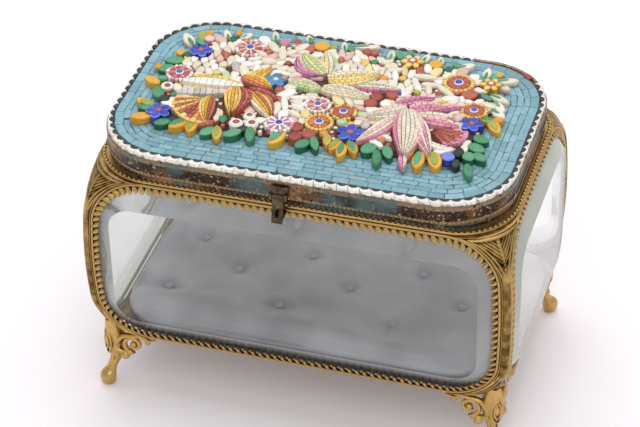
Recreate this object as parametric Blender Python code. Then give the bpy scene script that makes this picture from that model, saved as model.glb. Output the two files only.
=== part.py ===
"""Micro-mosaic jewelry box: a gilt brass casket with bevelled glass sides and a mosaic lid.

Frame: X to the right, Y to the back, Z up, origin on the table under the middle of the box.
Sizes are in millimetres and are turned to metres where a mesh is made.
"""

import math

import bmesh
import bpy
from mathutils import Matrix, Vector

MM = 0.001
GAP = 0.3
MERGE = 0.02
WELD = 0.001

# Lid
LID_HALF_W = 70.0
LID_HALF_D = 42.9
LID_RADIUS = 24.2
LID_LOW = 95.4
LID_TOP = 101.0
LID_WALL = 0.9
LID_FLOOR = 0.9
MOULDING = 0.4
MOULDING_RISE = 1.3
NECK_RISE = 2.2
NECK_INSET = 0.2
BORDER_OUTER = 0.2
BORDER_INNER = 2.4
SHOULDER = 101.8
FIELD_TOP = 103.0

# Bouquet on the lid: a leafy plate, a bed with petals in it, then flowers and birds
LEAF_TOP = 104.2
BED_TOP = 105.0
PETAL_TOP = 106.0
FLOWER_TOP = 107.0
BIRD_TOP = 107.4
FEATHER_STEP = 0.25
BOUQUET_CENTRE = (-1.5, 5.5)
BOUQUET_HALF_W = 55.0
BOUQUET_HALF_D = 27.0
BOUQUET_RADIUS = 19.0
PETAL_PITCH = 7.2
PETAL_LENGTH = 5.4
PETAL_WIDTH = 3.6
LEAF_PITCH = 6.6
LEAF_LENGTHS = (7.0, 5.4)

# Casket: where the front and side faces would meet in a sharp corner, at the top and the bottom
CORNER_X = 71.2
CORNER_Y = 41.0
BULGE = 2.7
BULGE_MID = 57.0
BULGE_HALF = 36.0

# Panel frames
FRAME_LOW = 24.4
FRAME_HIGH = 90.5
FRAME_RADIUS = 17.0
FRAME_SIDE_GAP = 3.0
FRAME_SET_BACK = 0.3
FRAME_DEPTH = 2.1
TOOTH_ROOT = 1.5
TOOTH_TIP = 2.3
TOOTH_DROP = 0.1
FLANGE_THICK = 0.7

LONG_SPANS = (16, 5, 6)
SHORT_SPANS = (7, 5, 6)

# Glass panes
PANE_SPANS = (1, 4, 3)
PANE_INSET = 1.3
BEVEL_INSET = 2.4
PANE_BACK = 2.8
PANE_EDGE = 0.7
PANE_SLANT = 0.8
FACET_PROUD = 3.8
FACET_LOW = 34.1
FACET_HIGH = 81.4
FACET_RADIUS = 8.5
FACET_SIDE_INSET = 7.8

# Corner mounts and the spandrels of the feet
POST_WALL = 1.2
POST_STEPS = 3
ARC_STEPS = 5
PLAN_STEPS = 3

# Base, pad and rim
BASE_THICK = 1.0
PAD_LOW = 25.7
PAD_EDGE = 32.6
PAD_CROWN = 34.4
RIM_HALF_W = 69.6
RIM_HALF_D = 40.4
RIM_RADIUS = 21.5
RIM_LOW = 90.8
RIM_HIGH = 95.1
RIM_WALL = 2.2
RIM_TAPER = 0.9
FLANGE_HALF_W = 71.4
FLANGE_HALF_D = 41.2
FLANGE_RADIUS = 19.7
FLANGE_HIGH = 91.5
FLANGE_SLOPE = 0.5

PAD_RADIUS = 16.0
PAD_MARGIN = 1.6
PAD_INSETS = ((0.6, PAD_LOW), (0.0, PAD_EDGE - 1.5), (1.4, PAD_EDGE), (9.0, PAD_CROWN))

# Feet: the leg's sections as distance out along the diagonal from its waist, height and radius
LEG_WAIST = (67.0, 37.0)
LEG_SECTIONS = (
    (1.6, 28.0, 2.2),
    (0.6, 22.0, 3.4),
    (0.3, 16.5, 3.2),
    (0.8, 11.0, 2.1),
    (2.8, 6.8, 1.8),
    (4.3, 4.4, 2.7),
    (4.6, 2.0, 2.8),
    (4.4, 0.0, 2.0),
)
CARTOUCHE_OUT = 3.0
CARTOUCHE_Z = 19.5
CARTOUCHE_HALVES = (1.6, 2.3, 5.0)

# Wings of the feet, as (distance in from the corner, height)
WING_DEPTH = 1.6
WING_BAR = 1.3
WING_ARM = ((5.5, 18.5), (7.6, 21.8), (12.0, 22.5), (21.0, 23.4))
WING_TAPER = 0.45
SCROLL_CENTRE = (11.4, 18.8)
SCROLL_RADIUS = 3.6
SCROLL_ROOT = (4.5, 16.6)
SCROLL_TURN = (245, 110)
CURL = ((12.3, 20.0), 2.0)
BEAD = ((8.2, 14.0), 1.6)

# Lid hinge at the back
HINGE_Y = 45.5
HINGE_Z = 94.9
HINGE_HALF = 14.0
HINGE_KNUCKLE = 6.0
HINGE_LEAF_Y = 42.0
HINGE_LEAF_LOW = 87.4
KNUCKLE_RADIUS = 1.9
BORE_RADIUS = 0.85
PIN_RADIUS = 0.6
LEAF_THICK = 0.7
LEAF_TOP_GAP = 0.6
TONGUE_RISE = (0.3, 3.0)
LEAF_DROP = 0.4
ARM_DROP = (1.3, 0.5)
PIN_SHORT = 2.0
BORE_LENGTH = 40.0

# Clasp at the front: a hasp hung from the lid, and a stud on the front frame
CLASP_X = -3.2
CLASP_Y = -44.5
CLASP_Z = 97.2
CLASP_HALF = 2.1
CLASP_EAR = 0.9
CLASP_PLATE = 0.8
CLASP_HIGH = 100.8
CLASP_LENGTH = 9.0
CLASP_LEAN = 14.0
CLASP_PIN_RADIUS = 0.35
BARREL_RADIUS = 0.85
BARREL_BORE = 0.6
SLOT_HALF = 0.6
SLOT_LOW = -7.0
SLOT_HIGH = -3.4
CATCH_HALF = 1.6
CATCH_LOW = 88.9
CATCH_HIGH = 90.3


def clear_scene():
    for obj in list(bpy.data.objects):
        bpy.data.objects.remove(obj, do_unlink=True)


def collection(name):
    made = bpy.data.collections.new(name)
    bpy.context.scene.collection.children.link(made)
    return made


def material(name, colour, roughness, metallic=0.0, alpha=1.0):
    made = bpy.data.materials.new(name)
    made.use_nodes = True
    shader = made.node_tree.nodes["Principled BSDF"]
    shader.inputs["Base Color"].default_value = (*colour, 1.0)
    shader.inputs["Roughness"].default_value = roughness
    shader.inputs["Metallic"].default_value = metallic
    shader.inputs["Alpha"].default_value = alpha
    made.diffuse_color = (*colour, alpha)
    return made


def bulge(z):
    """How far the casket's sides swell outwards at height z."""
    return BULGE * max(0.0, 1.0 - ((z - BULGE_MID) / BULGE_HALF) ** 2)


def arc(centre, radius, start, end, steps):
    """Points on an arc, angles in degrees, both ends included."""
    points = []
    for i in range(steps + 1):
        angle = math.radians(start + (end - start) * i / steps)
        x = centre[0] + radius * math.cos(angle)
        y = centre[1] + radius * math.sin(angle)
        points.append((x, y))
    return points


def rounded_rectangle(half_w, half_d, radius, steps=5, centre=(0.0, 0.0)):
    """Outline of a rounded rectangle, anticlockwise from its lower right corner."""
    x, y = centre
    points = []
    for sx, sy, start in ((1, -1, -90), (1, 1, 0), (-1, 1, 90), (-1, -1, 180)):
        middle = (x + sx * (half_w - radius), y + sy * (half_d - radius))
        points += arc(middle, radius, start, start + 90, steps)
    return points


def at_height(outline, z):
    return [(x, y, z) for x, y in outline]


def mesh_object(name, points, faces, surface, home):
    """A mesh from points in millimetres, with its faces turned outwards."""
    mesh = bpy.data.meshes.new(name)
    mesh.from_pydata([Vector(p) * MM for p in points], [], faces)
    body = bmesh.new()
    body.from_mesh(mesh)
    bmesh.ops.recalc_face_normals(body, faces=body.faces[:])
    body.to_mesh(mesh)
    body.free()
    mesh.materials.append(surface)
    obj = bpy.data.objects.new(name, mesh)
    home.objects.link(obj)
    return obj


def ring_faces(ring_count, size, closed=False):
    """Quads between neighbouring rings of equal size."""
    faces = []
    for k in range(ring_count if closed else ring_count - 1):
        low = k * size
        high = ((k + 1) % ring_count) * size
        for i in range(size):
            j = (i + 1) % size
            faces.append((low + i, low + j, high + j, high + i))
    return faces


def loft(name, rings, surface, home):
    """A closed solid through rings of equal size, capped at both ends."""
    size = len(rings[0])
    faces = ring_faces(len(rings), size)
    faces.append(tuple(range(size)))
    last = (len(rings) - 1) * size
    faces.append(tuple(last + i for i in range(size)))
    points = [p for ring in rings for p in ring]
    return mesh_object(name, points, faces, surface, home)


def hoop(name, rings, surface, home):
    """A closed ring-shaped solid: the rings run round it and the last joins the first."""
    size = len(rings[0])
    faces = ring_faces(len(rings), size, closed=True)
    points = [p for ring in rings for p in ring]
    return mesh_object(name, points, faces, surface, home)


def plate(name, outline, low, high, surface, home):
    """A flat outline given a thickness, as a filled curve."""
    curve = bpy.data.curves.new(name, "CURVE")
    curve.dimensions = "2D"
    curve.fill_mode = "BOTH"
    curve.extrude = (high - low) / 2 * MM
    spline = curve.splines.new("POLY")
    spline.points.add(len(outline) - 1)
    for point, (x, y) in zip(spline.points, outline):
        point.co = (x * MM, y * MM, 0.0, 1.0)
    spline.use_cyclic_u = True
    curve.materials.append(surface)
    obj = bpy.data.objects.new(name, curve)
    obj.location.z = (low + high) / 2 * MM
    home.objects.link(obj)
    return obj


def bar(name, path, radius, taper, surface, home):
    """A cast bar along a path, four-sided, its far end thinned by taper."""
    curve = bpy.data.curves.new(name, "CURVE")
    curve.dimensions = "3D"
    curve.bevel_depth = radius * MM
    curve.bevel_resolution = 0
    curve.use_fill_caps = True
    spline = curve.splines.new("POLY")
    spline.points.add(len(path) - 1)
    for point, (x, y, z) in zip(spline.points, path):
        point.co = (x * MM, y * MM, z * MM, 1.0)
    spline.points[-1].radius = taper
    curve.materials.append(surface)
    obj = bpy.data.objects.new(name, curve)
    home.objects.link(obj)
    return obj


def block(name, low, high, surface, home):
    """A box between two corners."""
    size = [b - a for a, b in zip(low, high)]
    middle = [(a + b) / 2 for a, b in zip(low, high)]
    body = bmesh.new()
    bmesh.ops.create_cube(body, size=1.0)
    bmesh.ops.scale(body, vec=Vector(size) * MM, verts=body.verts)
    obj = object_from(name, body, surface, home)
    obj.location = Vector(middle) * MM
    return obj


def rod(name, centre, radius, length, surface, home, sides=12):
    """A round bar along X, centred on its middle."""
    body = bmesh.new()
    bmesh.ops.create_cone(
        body,
        cap_ends=True,
        segments=sides,
        radius1=radius * MM,
        radius2=radius * MM,
        depth=length * MM,
        matrix=Matrix.Rotation(math.radians(90), 4, "Y"),
    )
    obj = object_from(name, body, surface, home)
    obj.location = Vector(centre) * MM
    return obj


def bead(name, centre, radius, surface, home):
    """A small ball with few faces."""
    body = bmesh.new()
    bmesh.ops.create_icosphere(body, subdivisions=1, radius=radius * MM)
    obj = object_from(name, body, surface, home)
    obj.location = Vector(centre) * MM
    return obj


def object_from(name, body, surface, home):
    mesh = bpy.data.meshes.new(name)
    body.to_mesh(mesh)
    body.free()
    mesh.materials.append(surface)
    obj = bpy.data.objects.new(name, mesh)
    home.objects.link(obj)
    return obj


def as_mesh(obj, home):
    """A curve object made a mesh with its caps welded. A mesh object is returned as it is."""
    if obj.type == "MESH":
        return obj
    bpy.context.view_layer.update()
    graph = bpy.context.evaluated_depsgraph_get()
    mesh = bpy.data.meshes.new_from_object(obj.evaluated_get(graph))
    body = bmesh.new()
    body.from_mesh(mesh)
    bmesh.ops.remove_doubles(body, verts=body.verts, dist=WELD * MM)
    body.to_mesh(mesh)
    body.free()
    made = bpy.data.objects.new(obj.name, mesh)
    made.matrix_world = obj.matrix_world.copy()
    home.objects.link(made)
    bpy.data.objects.remove(obj, do_unlink=True)
    return made


def fuse(name, pieces, home, cut=()):
    """One body from overlapping pieces, less what the cutters take away."""
    pieces = [as_mesh(piece, home) for piece in pieces]
    whole = pieces[0]
    for other in pieces[1:]:
        add_boolean(whole, other, "UNION")
    for other in cut:
        add_boolean(whole, other, "DIFFERENCE")
    bpy.context.view_layer.update()
    graph = bpy.context.evaluated_depsgraph_get()
    mesh = bpy.data.meshes.new_from_object(whole.evaluated_get(graph))
    mesh.name = name
    mesh.transform(whole.matrix_world)
    dissolve_flats(mesh)
    made = bpy.data.objects.new(name, mesh)
    home.objects.link(made)
    for used in [*pieces, *cut]:
        bpy.data.objects.remove(used, do_unlink=True)
    return made


def dissolve_flats(mesh):
    """Merge the slivers that a Boolean leaves within one flat face."""
    body = bmesh.new()
    body.from_mesh(mesh)
    bmesh.ops.remove_doubles(body, verts=body.verts, dist=MERGE * MM)
    bmesh.ops.dissolve_degenerate(body, edges=body.edges, dist=MERGE * MM)
    bmesh.ops.dissolve_limit(body, angle_limit=math.radians(0.5), verts=body.verts, edges=body.edges)
    bmesh.ops.triangulate(body, faces=body.faces)
    body.to_mesh(mesh)
    body.free()


def add_boolean(obj, other, operation):
    cutting = obj.modifiers.new(operation.lower(), "BOOLEAN")
    cutting.operation = operation
    cutting.solver = "EXACT"
    cutting.object = other


def gathered(name, pieces, home):
    """Several separate bodies as one mesh, ready to be fused to the bed they stand in."""
    pieces = [as_mesh(piece, home) for piece in pieces]
    body = bmesh.new()
    for piece in pieces:
        piece.data.transform(piece.matrix_world)
        body.from_mesh(piece.data)
    obj = object_from(name, body, pieces[0].data.materials[0], home)
    for piece in pieces:
        bpy.data.objects.remove(piece, do_unlink=True)
    return obj


def hang(pivot, *pieces):
    """Parent the pieces to a pivot without moving them."""
    for piece in pieces:
        piece.parent = pivot
        piece.matrix_parent_inverse = Matrix.Translation(-pivot.location)


def pivot_at(name, place, home):
    """An empty on a joint's axis."""
    empty = bpy.data.objects.new(name, None)
    empty.location = Vector(place) * MM
    home.objects.link(empty)
    return empty


def shade_round(obj, angle=40.0):
    obj.data.shade_smooth()
    obj.data.set_sharp_from_angle(angle=math.radians(angle))


def mirrored(source, name, flip_x, flip_y, home):
    """A copy of an object whose origin is the world's, mirrored across X, Y or both."""
    mesh = source.data.copy()
    mesh.name = name
    scale = Matrix.Diagonal((-1 if flip_x else 1, -1 if flip_y else 1, 1, 1))
    mesh.transform(scale)
    if flip_x != flip_y:
        mesh.flip_normals()
    obj = bpy.data.objects.new(name, mesh)
    home.objects.link(obj)
    return obj


# Panel frames and glass


def panel_outline(half, low, high, radius, inset=0.0, spans=LONG_SPANS):
    """Outline of a panel in (across, up), anticlockwise from the left end of its lower edge.

    spans are the steps along the lower and upper edges, round a corner, and up a side.
    """
    flat, corner, side = spans
    half -= inset
    low += inset
    high -= inset
    radius = max(radius - inset, 1.0)
    edge = half - radius
    points = []
    points += [(-edge + 2 * edge * i / flat, low) for i in range(flat)]
    points += arc((edge, low + radius), radius, -90, 0, corner)[:-1]
    rise = high - low - 2 * radius
    points += [(half, low + radius + rise * i / side) for i in range(side)]
    points += arc((edge, high - radius), radius, 0, 90, corner)[:-1]
    points += [(edge - 2 * edge * i / flat, high) for i in range(flat)]
    points += arc((-edge, high - radius), radius, 90, 180, corner)[:-1]
    points += [(-half, high - radius - rise * i / side) for i in range(side)]
    points += arc((-edge, low + radius), radius, 180, 270, corner)[:-1]
    return points


class Panel:
    """One side of the casket. across runs along it, depth is measured in from its face."""

    def __init__(self, word, half, face, turn, spans):
        self.word = word
        self.half = half - FRAME_SIDE_GAP
        self.face = face
        self.turn = turn
        self.spans = spans

    def place(self, across, depth, z, swell=1.0):
        """A point of the panel, with the casket's swelling added."""
        outer = self.half - FRAME_RADIUS
        spread = bulge(z) * min(1.0, abs(across) / outer) * swell
        u = across + math.copysign(spread, across)
        v = -(self.face - depth + bulge(z) * swell)
        c, s = math.cos(self.turn), math.sin(self.turn)
        return (u * c - v * s, u * s + v * c, z)

    def ring(self, inset, depth, teeth=False):
        points = []
        shape = (self.half, FRAME_LOW, FRAME_HIGH, FRAME_RADIUS)
        tips = panel_outline(*shape, inset=TOOTH_TIP, spans=self.spans)
        for i, (u, z) in enumerate(panel_outline(*shape, inset=inset, spans=self.spans)):
            if teeth and i % 2:
                u, z = tips[i]
            points.append(self.place(u, depth, z))
        return points

    def frame(self, surface, home):
        """Toothed channel: an outer wall, a front flange ending in teeth, and an open back."""
        front = FRAME_SET_BACK
        back = FRAME_SET_BACK + FRAME_DEPTH
        rings = [
            self.ring(0.0, back),
            self.ring(0.0, front),
            self.ring(TOOTH_ROOT, front + TOOTH_DROP, teeth=True),
            self.ring(TOOTH_ROOT, front + TOOTH_DROP + FLANGE_THICK, teeth=True),
        ]
        return hoop(f"frame_{self.word}", rings, surface, home)

    def pane(self, surface, home):
        """Thick plate: flat back, a slanted edge, a wide bevel and a flat raised front."""
        shape = (self.half, FRAME_LOW, FRAME_HIGH, FRAME_RADIUS)

        def edge(inset, depth, swell):
            outline = panel_outline(*shape, inset=inset, spans=PANE_SPANS)
            return [self.place(u, depth, z, swell) for u, z in outline]

        facet = panel_outline(
            self.half + FRAME_SIDE_GAP - FACET_SIDE_INSET,
            FACET_LOW,
            FACET_HIGH,
            FACET_RADIUS,
            spans=PANE_SPANS,
        )
        rings = [
            edge(PANE_INSET, PANE_BACK, 0.0),
            edge(PANE_INSET, PANE_BACK - PANE_EDGE, 1.0),
            edge(BEVEL_INSET, PANE_BACK - PANE_EDGE - PANE_SLANT, 1.0),
            [self.place(u, -FACET_PROUD, z, 0.0) for u, z in facet],
        ]
        return loft(f"pane_{self.word}", rings, surface, home)


PANELS = (
    Panel("front", CORNER_X, CORNER_Y, 0.0, LONG_SPANS),
    Panel("right", CORNER_Y, CORNER_X, math.radians(90), SHORT_SPANS),
    Panel("back", CORNER_X, CORNER_Y, math.radians(180), LONG_SPANS),
    Panel("left", CORNER_Y, CORNER_X, math.radians(270), SHORT_SPANS),
)

CORNERS = (
    ("front_right", False, False),
    ("front_left", True, False),
    ("back_right", False, True),
    ("back_left", True, True),
)


# Corners


def corner_radius(angle):
    """Plan radius of the casket's corner where the frames' arcs have turned by angle."""
    straight = CORNER_X - FRAME_SIDE_GAP + GAP
    reached = straight - FRAME_RADIUS + FRAME_RADIUS * math.cos(angle)
    return CORNER_X - reached


def corner_section(z, radius):
    """Horizontal section of a corner sheet at the front right: outer arc, then inner arc."""
    swell = bulge(z)
    x = CORNER_X + swell - radius
    y = -(CORNER_Y + swell - radius)
    outer = arc((x, y), radius, -90, 0, PLAN_STEPS)
    inner = arc((x, y), radius - POST_WALL, 0, -90, PLAN_STEPS)
    return at_height(outer + inner, z)


def corner_mount(surface, home):
    """Post between two panes that widens at its top into a curved three-cornered spandrel."""
    sections = []
    low_centre = FRAME_LOW + FRAME_RADIUS
    high_centre = FRAME_HIGH - FRAME_RADIUS
    for i in range(POST_STEPS):
        z = low_centre + GAP + (high_centre - low_centre - GAP) * i / POST_STEPS
        sections.append(corner_section(z, corner_radius(0.0)))
    for i in range(ARC_STEPS + 1):
        angle = math.pi / 2 * i / ARC_STEPS
        z = high_centre + FRAME_RADIUS * math.sin(angle)
        sections.append(corner_section(z, corner_radius(angle)))
    return loft("corner_mount_front_right", sections, surface, home)


def foot_spandrel(surface, home):
    """The leaf at the foot's top: it fills the corner between the frames' lower arcs."""
    sections = []
    centre = FRAME_LOW + FRAME_RADIUS
    for i in range(ARC_STEPS, -1, -1):
        angle = math.pi / 2 * i / ARC_STEPS
        z = centre - FRAME_RADIUS * math.sin(angle)
        sections.append(corner_section(z, corner_radius(angle)))
    return loft("foot_spandrel", sections, surface, home)


def foot_leg(surface, home):
    """The scrolled leg, leaning out along the corner's diagonal down to a round toe."""
    rings = []
    for out, z, radius in LEG_SECTIONS:
        step = out / math.sqrt(2)
        centre = (LEG_WAIST[0] + step, -(LEG_WAIST[1] + step))
        rings.append(at_height(arc(centre, radius, 0, 315, 7), z))
    return loft("foot_leg", rings, surface, home)


def foot_wing(word, along_x, surface, home):
    """Pierced scroll under a rail: an arm that runs out along it, and a C with bead ends."""

    def put(out, z):
        if along_x:
            return (CORNER_X - out, -(CORNER_Y - WING_DEPTH), z)
        return (CORNER_X - WING_DEPTH, -(CORNER_Y - out), z)

    scroll = [SCROLL_ROOT] + arc(SCROLL_CENTRE, SCROLL_RADIUS, *SCROLL_TURN, 3)
    return [
        bar(f"arm_{word}", [put(*p) for p in WING_ARM], WING_BAR, WING_TAPER, surface, home),
        bar(f"scroll_{word}", [put(*p) for p in scroll], WING_BAR, 1.0, surface, home),
        bead(f"curl_{word}", put(*CURL[0]), CURL[1], surface, home),
        bead(f"bead_{word}", put(*BEAD[0]), BEAD[1], surface, home),
    ]


def foot_cartouche(surface, home):
    """Raised oval on the leg's outer face."""
    step = CARTOUCHE_OUT / math.sqrt(2)
    body = bmesh.new()
    bmesh.ops.create_uvsphere(body, u_segments=6, v_segments=4, radius=MM)
    bmesh.ops.scale(body, vec=CARTOUCHE_HALVES, verts=body.verts)
    obj = object_from("cartouche", body, surface, home)
    obj.location = Vector((LEG_WAIST[0] + step, -(LEG_WAIST[1] + step), CARTOUCHE_Z)) * MM
    obj.rotation_euler.z = math.radians(-45)
    return obj


def foot(surface, home):
    """Cast foot of the front right corner."""
    pieces = [foot_leg(surface, home), foot_spandrel(surface, home), foot_cartouche(surface, home)]
    pieces += foot_wing("x", True, surface, home)
    pieces += foot_wing("y", False, surface, home)
    return fuse("foot_front_right", pieces, home)


def four_corners(source, stem, home):
    """The piece of the front right corner, and its mirror images in the other three."""
    made = [source]
    for word, flip_x, flip_y in CORNERS[1:]:
        made.append(mirrored(source, f"{stem}_{word}", flip_x, flip_y, home))
    for obj in made:
        shade_round(obj)
    return made


# Base, pad and rim


def base_plate(surface, home):
    half_w = CORNER_X - FRAME_SET_BACK - FRAME_DEPTH - GAP
    half_d = CORNER_Y - FRAME_SET_BACK - FRAME_DEPTH - GAP
    outline = rounded_rectangle(half_w, half_d, FRAME_RADIUS)
    return plate("base_plate", outline, FRAME_LOW, FRAME_LOW + BASE_THICK, surface, home)


def silk_pad(surface, home):
    """The pad on the floor of the casket: upright edges and a low crown."""
    half_w = CORNER_X - PANE_BACK - PAD_MARGIN
    half_d = CORNER_Y - PANE_BACK - PAD_MARGIN
    rings = []
    for inset, z in PAD_INSETS:
        outline = rounded_rectangle(half_w - inset, half_d - inset, PAD_RADIUS - inset)
        rings.append(at_height(outline, z))
    return loft("silk_pad", rings, surface, home)


def top_rim(surface, home):
    """Hoop that the lid closes on: a flange over the frames and corners, and a wall on top of it."""

    def wall(inset, z):
        return at_height(rounded_rectangle(RIM_HALF_W - inset, RIM_HALF_D - inset, RIM_RADIUS - inset), z)

    flange = rounded_rectangle(FLANGE_HALF_W, FLANGE_HALF_D, FLANGE_RADIUS)
    rings = [
        at_height(flange, RIM_LOW),
        at_height(flange, FLANGE_HIGH),
        wall(0.0, FLANGE_HIGH + FLANGE_SLOPE),
        wall(RIM_TAPER, RIM_HIGH),
        wall(RIM_WALL, RIM_HIGH),
        wall(RIM_WALL, RIM_LOW),
    ]
    return hoop("top_rim", rings, surface, home)


# Lid


def lid_outline(inset, steps=5):
    return rounded_rectangle(LID_HALF_W - inset, LID_HALF_D - inset, LID_RADIUS - inset, steps)


def lid_tray(surface, home):
    """Shallow tray with a low moulding round its lower edge."""
    rings = [
        at_height(lid_outline(LID_WALL), LID_LOW + LID_FLOOR),
        at_height(lid_outline(LID_WALL), LID_TOP),
        at_height(lid_outline(NECK_INSET), LID_TOP),
        at_height(lid_outline(NECK_INSET), LID_LOW + NECK_RISE),
        at_height(lid_outline(-MOULDING), LID_LOW + MOULDING_RISE),
        at_height(lid_outline(NECK_INSET), LID_LOW),
    ]
    return loft("lid_tray", rings, surface, home)


def mosaic_border(surface, home):
    """Sloping shoulder of the lid: it fills the tray's edge and laps over the wall's top."""
    within = LID_WALL + GAP
    low = LID_LOW + LID_FLOOR + GAP
    profile = (
        (within, low),
        (within, LID_TOP + GAP),
        (BORDER_OUTER, LID_TOP + GAP),
        (BORDER_OUTER, SHOULDER),
        (BORDER_INNER, FIELD_TOP),
        (BORDER_INNER, low),
    )
    rings = [at_height(lid_outline(inset), z) for inset, z in profile]
    return hoop("mosaic_border", rings, surface, home)


def mosaic_field(surface, home):
    """Sky-blue ground of the lid: a thick slab inside the border."""
    low = LID_LOW + LID_FLOOR + GAP
    return plate("mosaic_field", lid_outline(BORDER_INNER + GAP), low, FIELD_TOP, surface, home)


# Flowers as (name, x, y, radius, surface)
FLOWERS = (
    ("flower_blue_left", -52.2, -19.8, 4.2, "blue_glass"),
    ("flower_blue_back", -50.3, 17.4, 4.0, "blue_glass"),
    ("flower_blue_front", 12.6, -15.9, 4.6, "blue_glass"),
    ("flower_blue_right", 49.7, -1.1, 3.3, "blue_glass"),
    ("flower_blue_middle", -20.1, 6.9, 3.8, "blue_glass"),
    ("daisy_left", -53.2, 3.0, 4.8, "pink_glass"),
    ("daisy_back", -34.5, 23.2, 5.2, "pink_glass"),
    ("daisy_front", -11.4, -17.0, 5.0, "pink_glass"),
    ("daisy_middle", -2.4, -3.4, 4.4, "pink_glass"),
    ("daisy_rust_middle", 7.0, -5.4, 4.2, "rust_glass"),
    ("daisy_rust_front", 1.0, -13.0, 4.6, "rust_glass"),
    ("daisy_rust_right", 48.6, 6.6, 4.1, "rust_glass"),
    ("daisy_rust_back", 39.6, 21.2, 5.2, "rust_glass"),
    ("flower_white_left", -22.6, -19.2, 4.2, "cream_glass"),
)
FLOWER_PETALS = 5
FLOWER_NOTCH = 0.22
FLOWER_HEART = 0.34
FLOWER_SLOPE = 0.6

# Birds: each feather as (root x, root y, tip x, tip y, width)
BIRDS = {
    "bird_left": (
        "orange_glass",
        (
            (-50.0, -2.2, -26.5, 1.8, 5.0),
            (-37.1, -5.6, -34.9, -23.4, 7.0),
            (-30.5, 0.4, -28.5, -19.2, 9.4),
            (-26.1, -4.8, -14.0, -12.0, 6.0),
            (-36.5, -10.6, -49.0, -15.6, 8.0),
            (-36.5, -10.6, -42.0, -23.1, 8.0),
            (-30.5, 2.4, -24.3, 13.4, 6.0),
        ),
    ),
    "bird_back": (
        "straw_glass",
        (
            (-3.5, 11.0, -16.3, 21.2, 9.0),
            (1.0, 8.6, -5.7, 25.4, 9.0),
            (-2.7, 13.0, 13.9, 22.4, 9.4),
            (-16.0, 3.8, 10.5, 5.2, 6.4),
            (0.5, 8.4, 22.5, 11.8, 7.0),
        ),
    ),
    "bird_right": (
        "rose_glass",
        (
            (26.5, 3.0, 14.1, -8.6, 7.4),
            (25.5, 1.4, 33.1, -25.6, 10.0),
            (24.5, -4.6, 17.7, -20.2, 6.4),
            (30.5, -2.6, 40.5, -21.2, 6.6),
            (27.1, 1.4, 42.3, 10.4, 6.6),
            (29.5, -0.6, 45.1, -1.4, 7.0),
            (34.5, -6.6, 48.9, -7.6, 7.6),
            (34.5, -6.6, 47.9, -15.0, 7.6),
        ),
    ),
}
FEATHER_SECTIONS = ((0.0, -0.3), (0.42, -0.5), (1.0, 0.0), (0.42, 0.5), (0.0, 0.3))

# One leaf of the garland as (reach along its length, place across its pitch)
GARLAND_LEAF = ((0.0, -0.46), (0.4, -0.36), (1.0, 0.12), (0.4, 0.36))
ROW_SQUEEZE = 0.85
COLUMN_TURN = 47.0
ROW_TURN = 73.0


def star(centre, radius, notch):
    """A flower's outline: a tip and a notch for each petal."""
    points = []
    for i in range(2 * FLOWER_PETALS):
        angle = math.pi * i / FLOWER_PETALS
        reach = radius * (1.0 - notch * (i % 2))
        points.append((centre[0] + reach * math.cos(angle), centre[1] + reach * math.sin(angle)))
    return points


def flower(name, x, y, radius, surface, home):
    """A star of petals that slopes up to a round centre."""
    outline = star((x, y), radius, FLOWER_NOTCH)
    heart = star((x, y), radius * FLOWER_HEART, 0.0)
    rings = [
        at_height(outline, BED_TOP + GAP),
        at_height(outline, FLOWER_TOP - FLOWER_SLOPE),
        at_height(heart, FLOWER_TOP),
    ]
    return loft(name, rings, surface, home)


def leaf_outline(root, tip, width):
    """A pointed leaf from its root to its tip, widest a little before its middle."""
    length = math.dist(root, tip)
    c = (tip[0] - root[0]) / length
    s = (tip[1] - root[1]) / length
    points = []
    for along, side in FEATHER_SECTIONS:
        u, v = along * length, side * width
        points.append((root[0] + u * c - v * s, root[1] + u * s + v * c))
    return points


def bird(name, feathers, surface, home):
    """A bird in flight seen from above: body, wings and fanned tail as overlapping feathers."""
    pieces = []
    for k, (x0, y0, x1, y1, width) in enumerate(feathers):
        outline = leaf_outline((x0, y0), (x1, y1), width)
        top = BIRD_TOP - FEATHER_STEP * k
        pieces.append(plate(f"{name}_feather_{k}", outline, BED_TOP + GAP, top, surface, home))
    return fuse(name, pieces, home)


def taken(x, y, reach):
    """Whether a petal of this reach would touch a flower or a bird's feather."""
    for _, fx, fy, radius, _ in FLOWERS:
        if math.hypot(x - fx, y - fy) < radius + reach + GAP:
            return True
    for _, feathers in BIRDS.values():
        for x0, y0, x1, y1, width in feathers:
            length = math.dist((x0, y0), (x1, y1))
            along = ((x - x0) * (x1 - x0) + (y - y0) * (y1 - y0)) / length
            along = min(max(along, 0.0), length)
            near_x = x0 + (x1 - x0) * along / length
            near_y = y0 + (y1 - y0) * along / length
            if math.hypot(x - near_x, y - near_y) < width / 2 + reach + GAP:
                return True
    return False


def leaf_ground(surface, home):
    """Plate under the bouquet whose edge is a garland of leaves, long and short in turn."""
    spine = rounded_rectangle(BOUQUET_HALF_W, BOUQUET_HALF_D, BOUQUET_RADIUS, 6, BOUQUET_CENTRE)
    outline = []
    for k, (x, y, heading) in enumerate(spaced_along(spine, LEAF_PITCH)):
        length = LEAF_LENGTHS[k % 2]
        out = (math.cos(heading), math.sin(heading))
        ahead = (-out[1], out[0])
        for reach, side in GARLAND_LEAF:
            leaf_x = x + out[0] * length * reach + ahead[0] * LEAF_PITCH * side
            leaf_y = y + out[1] * length * reach + ahead[1] * LEAF_PITCH * side
            outline.append((leaf_x, leaf_y))
    return plate("leaf_ground", outline, FIELD_TOP + GAP, LEAF_TOP, surface, home)


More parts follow.
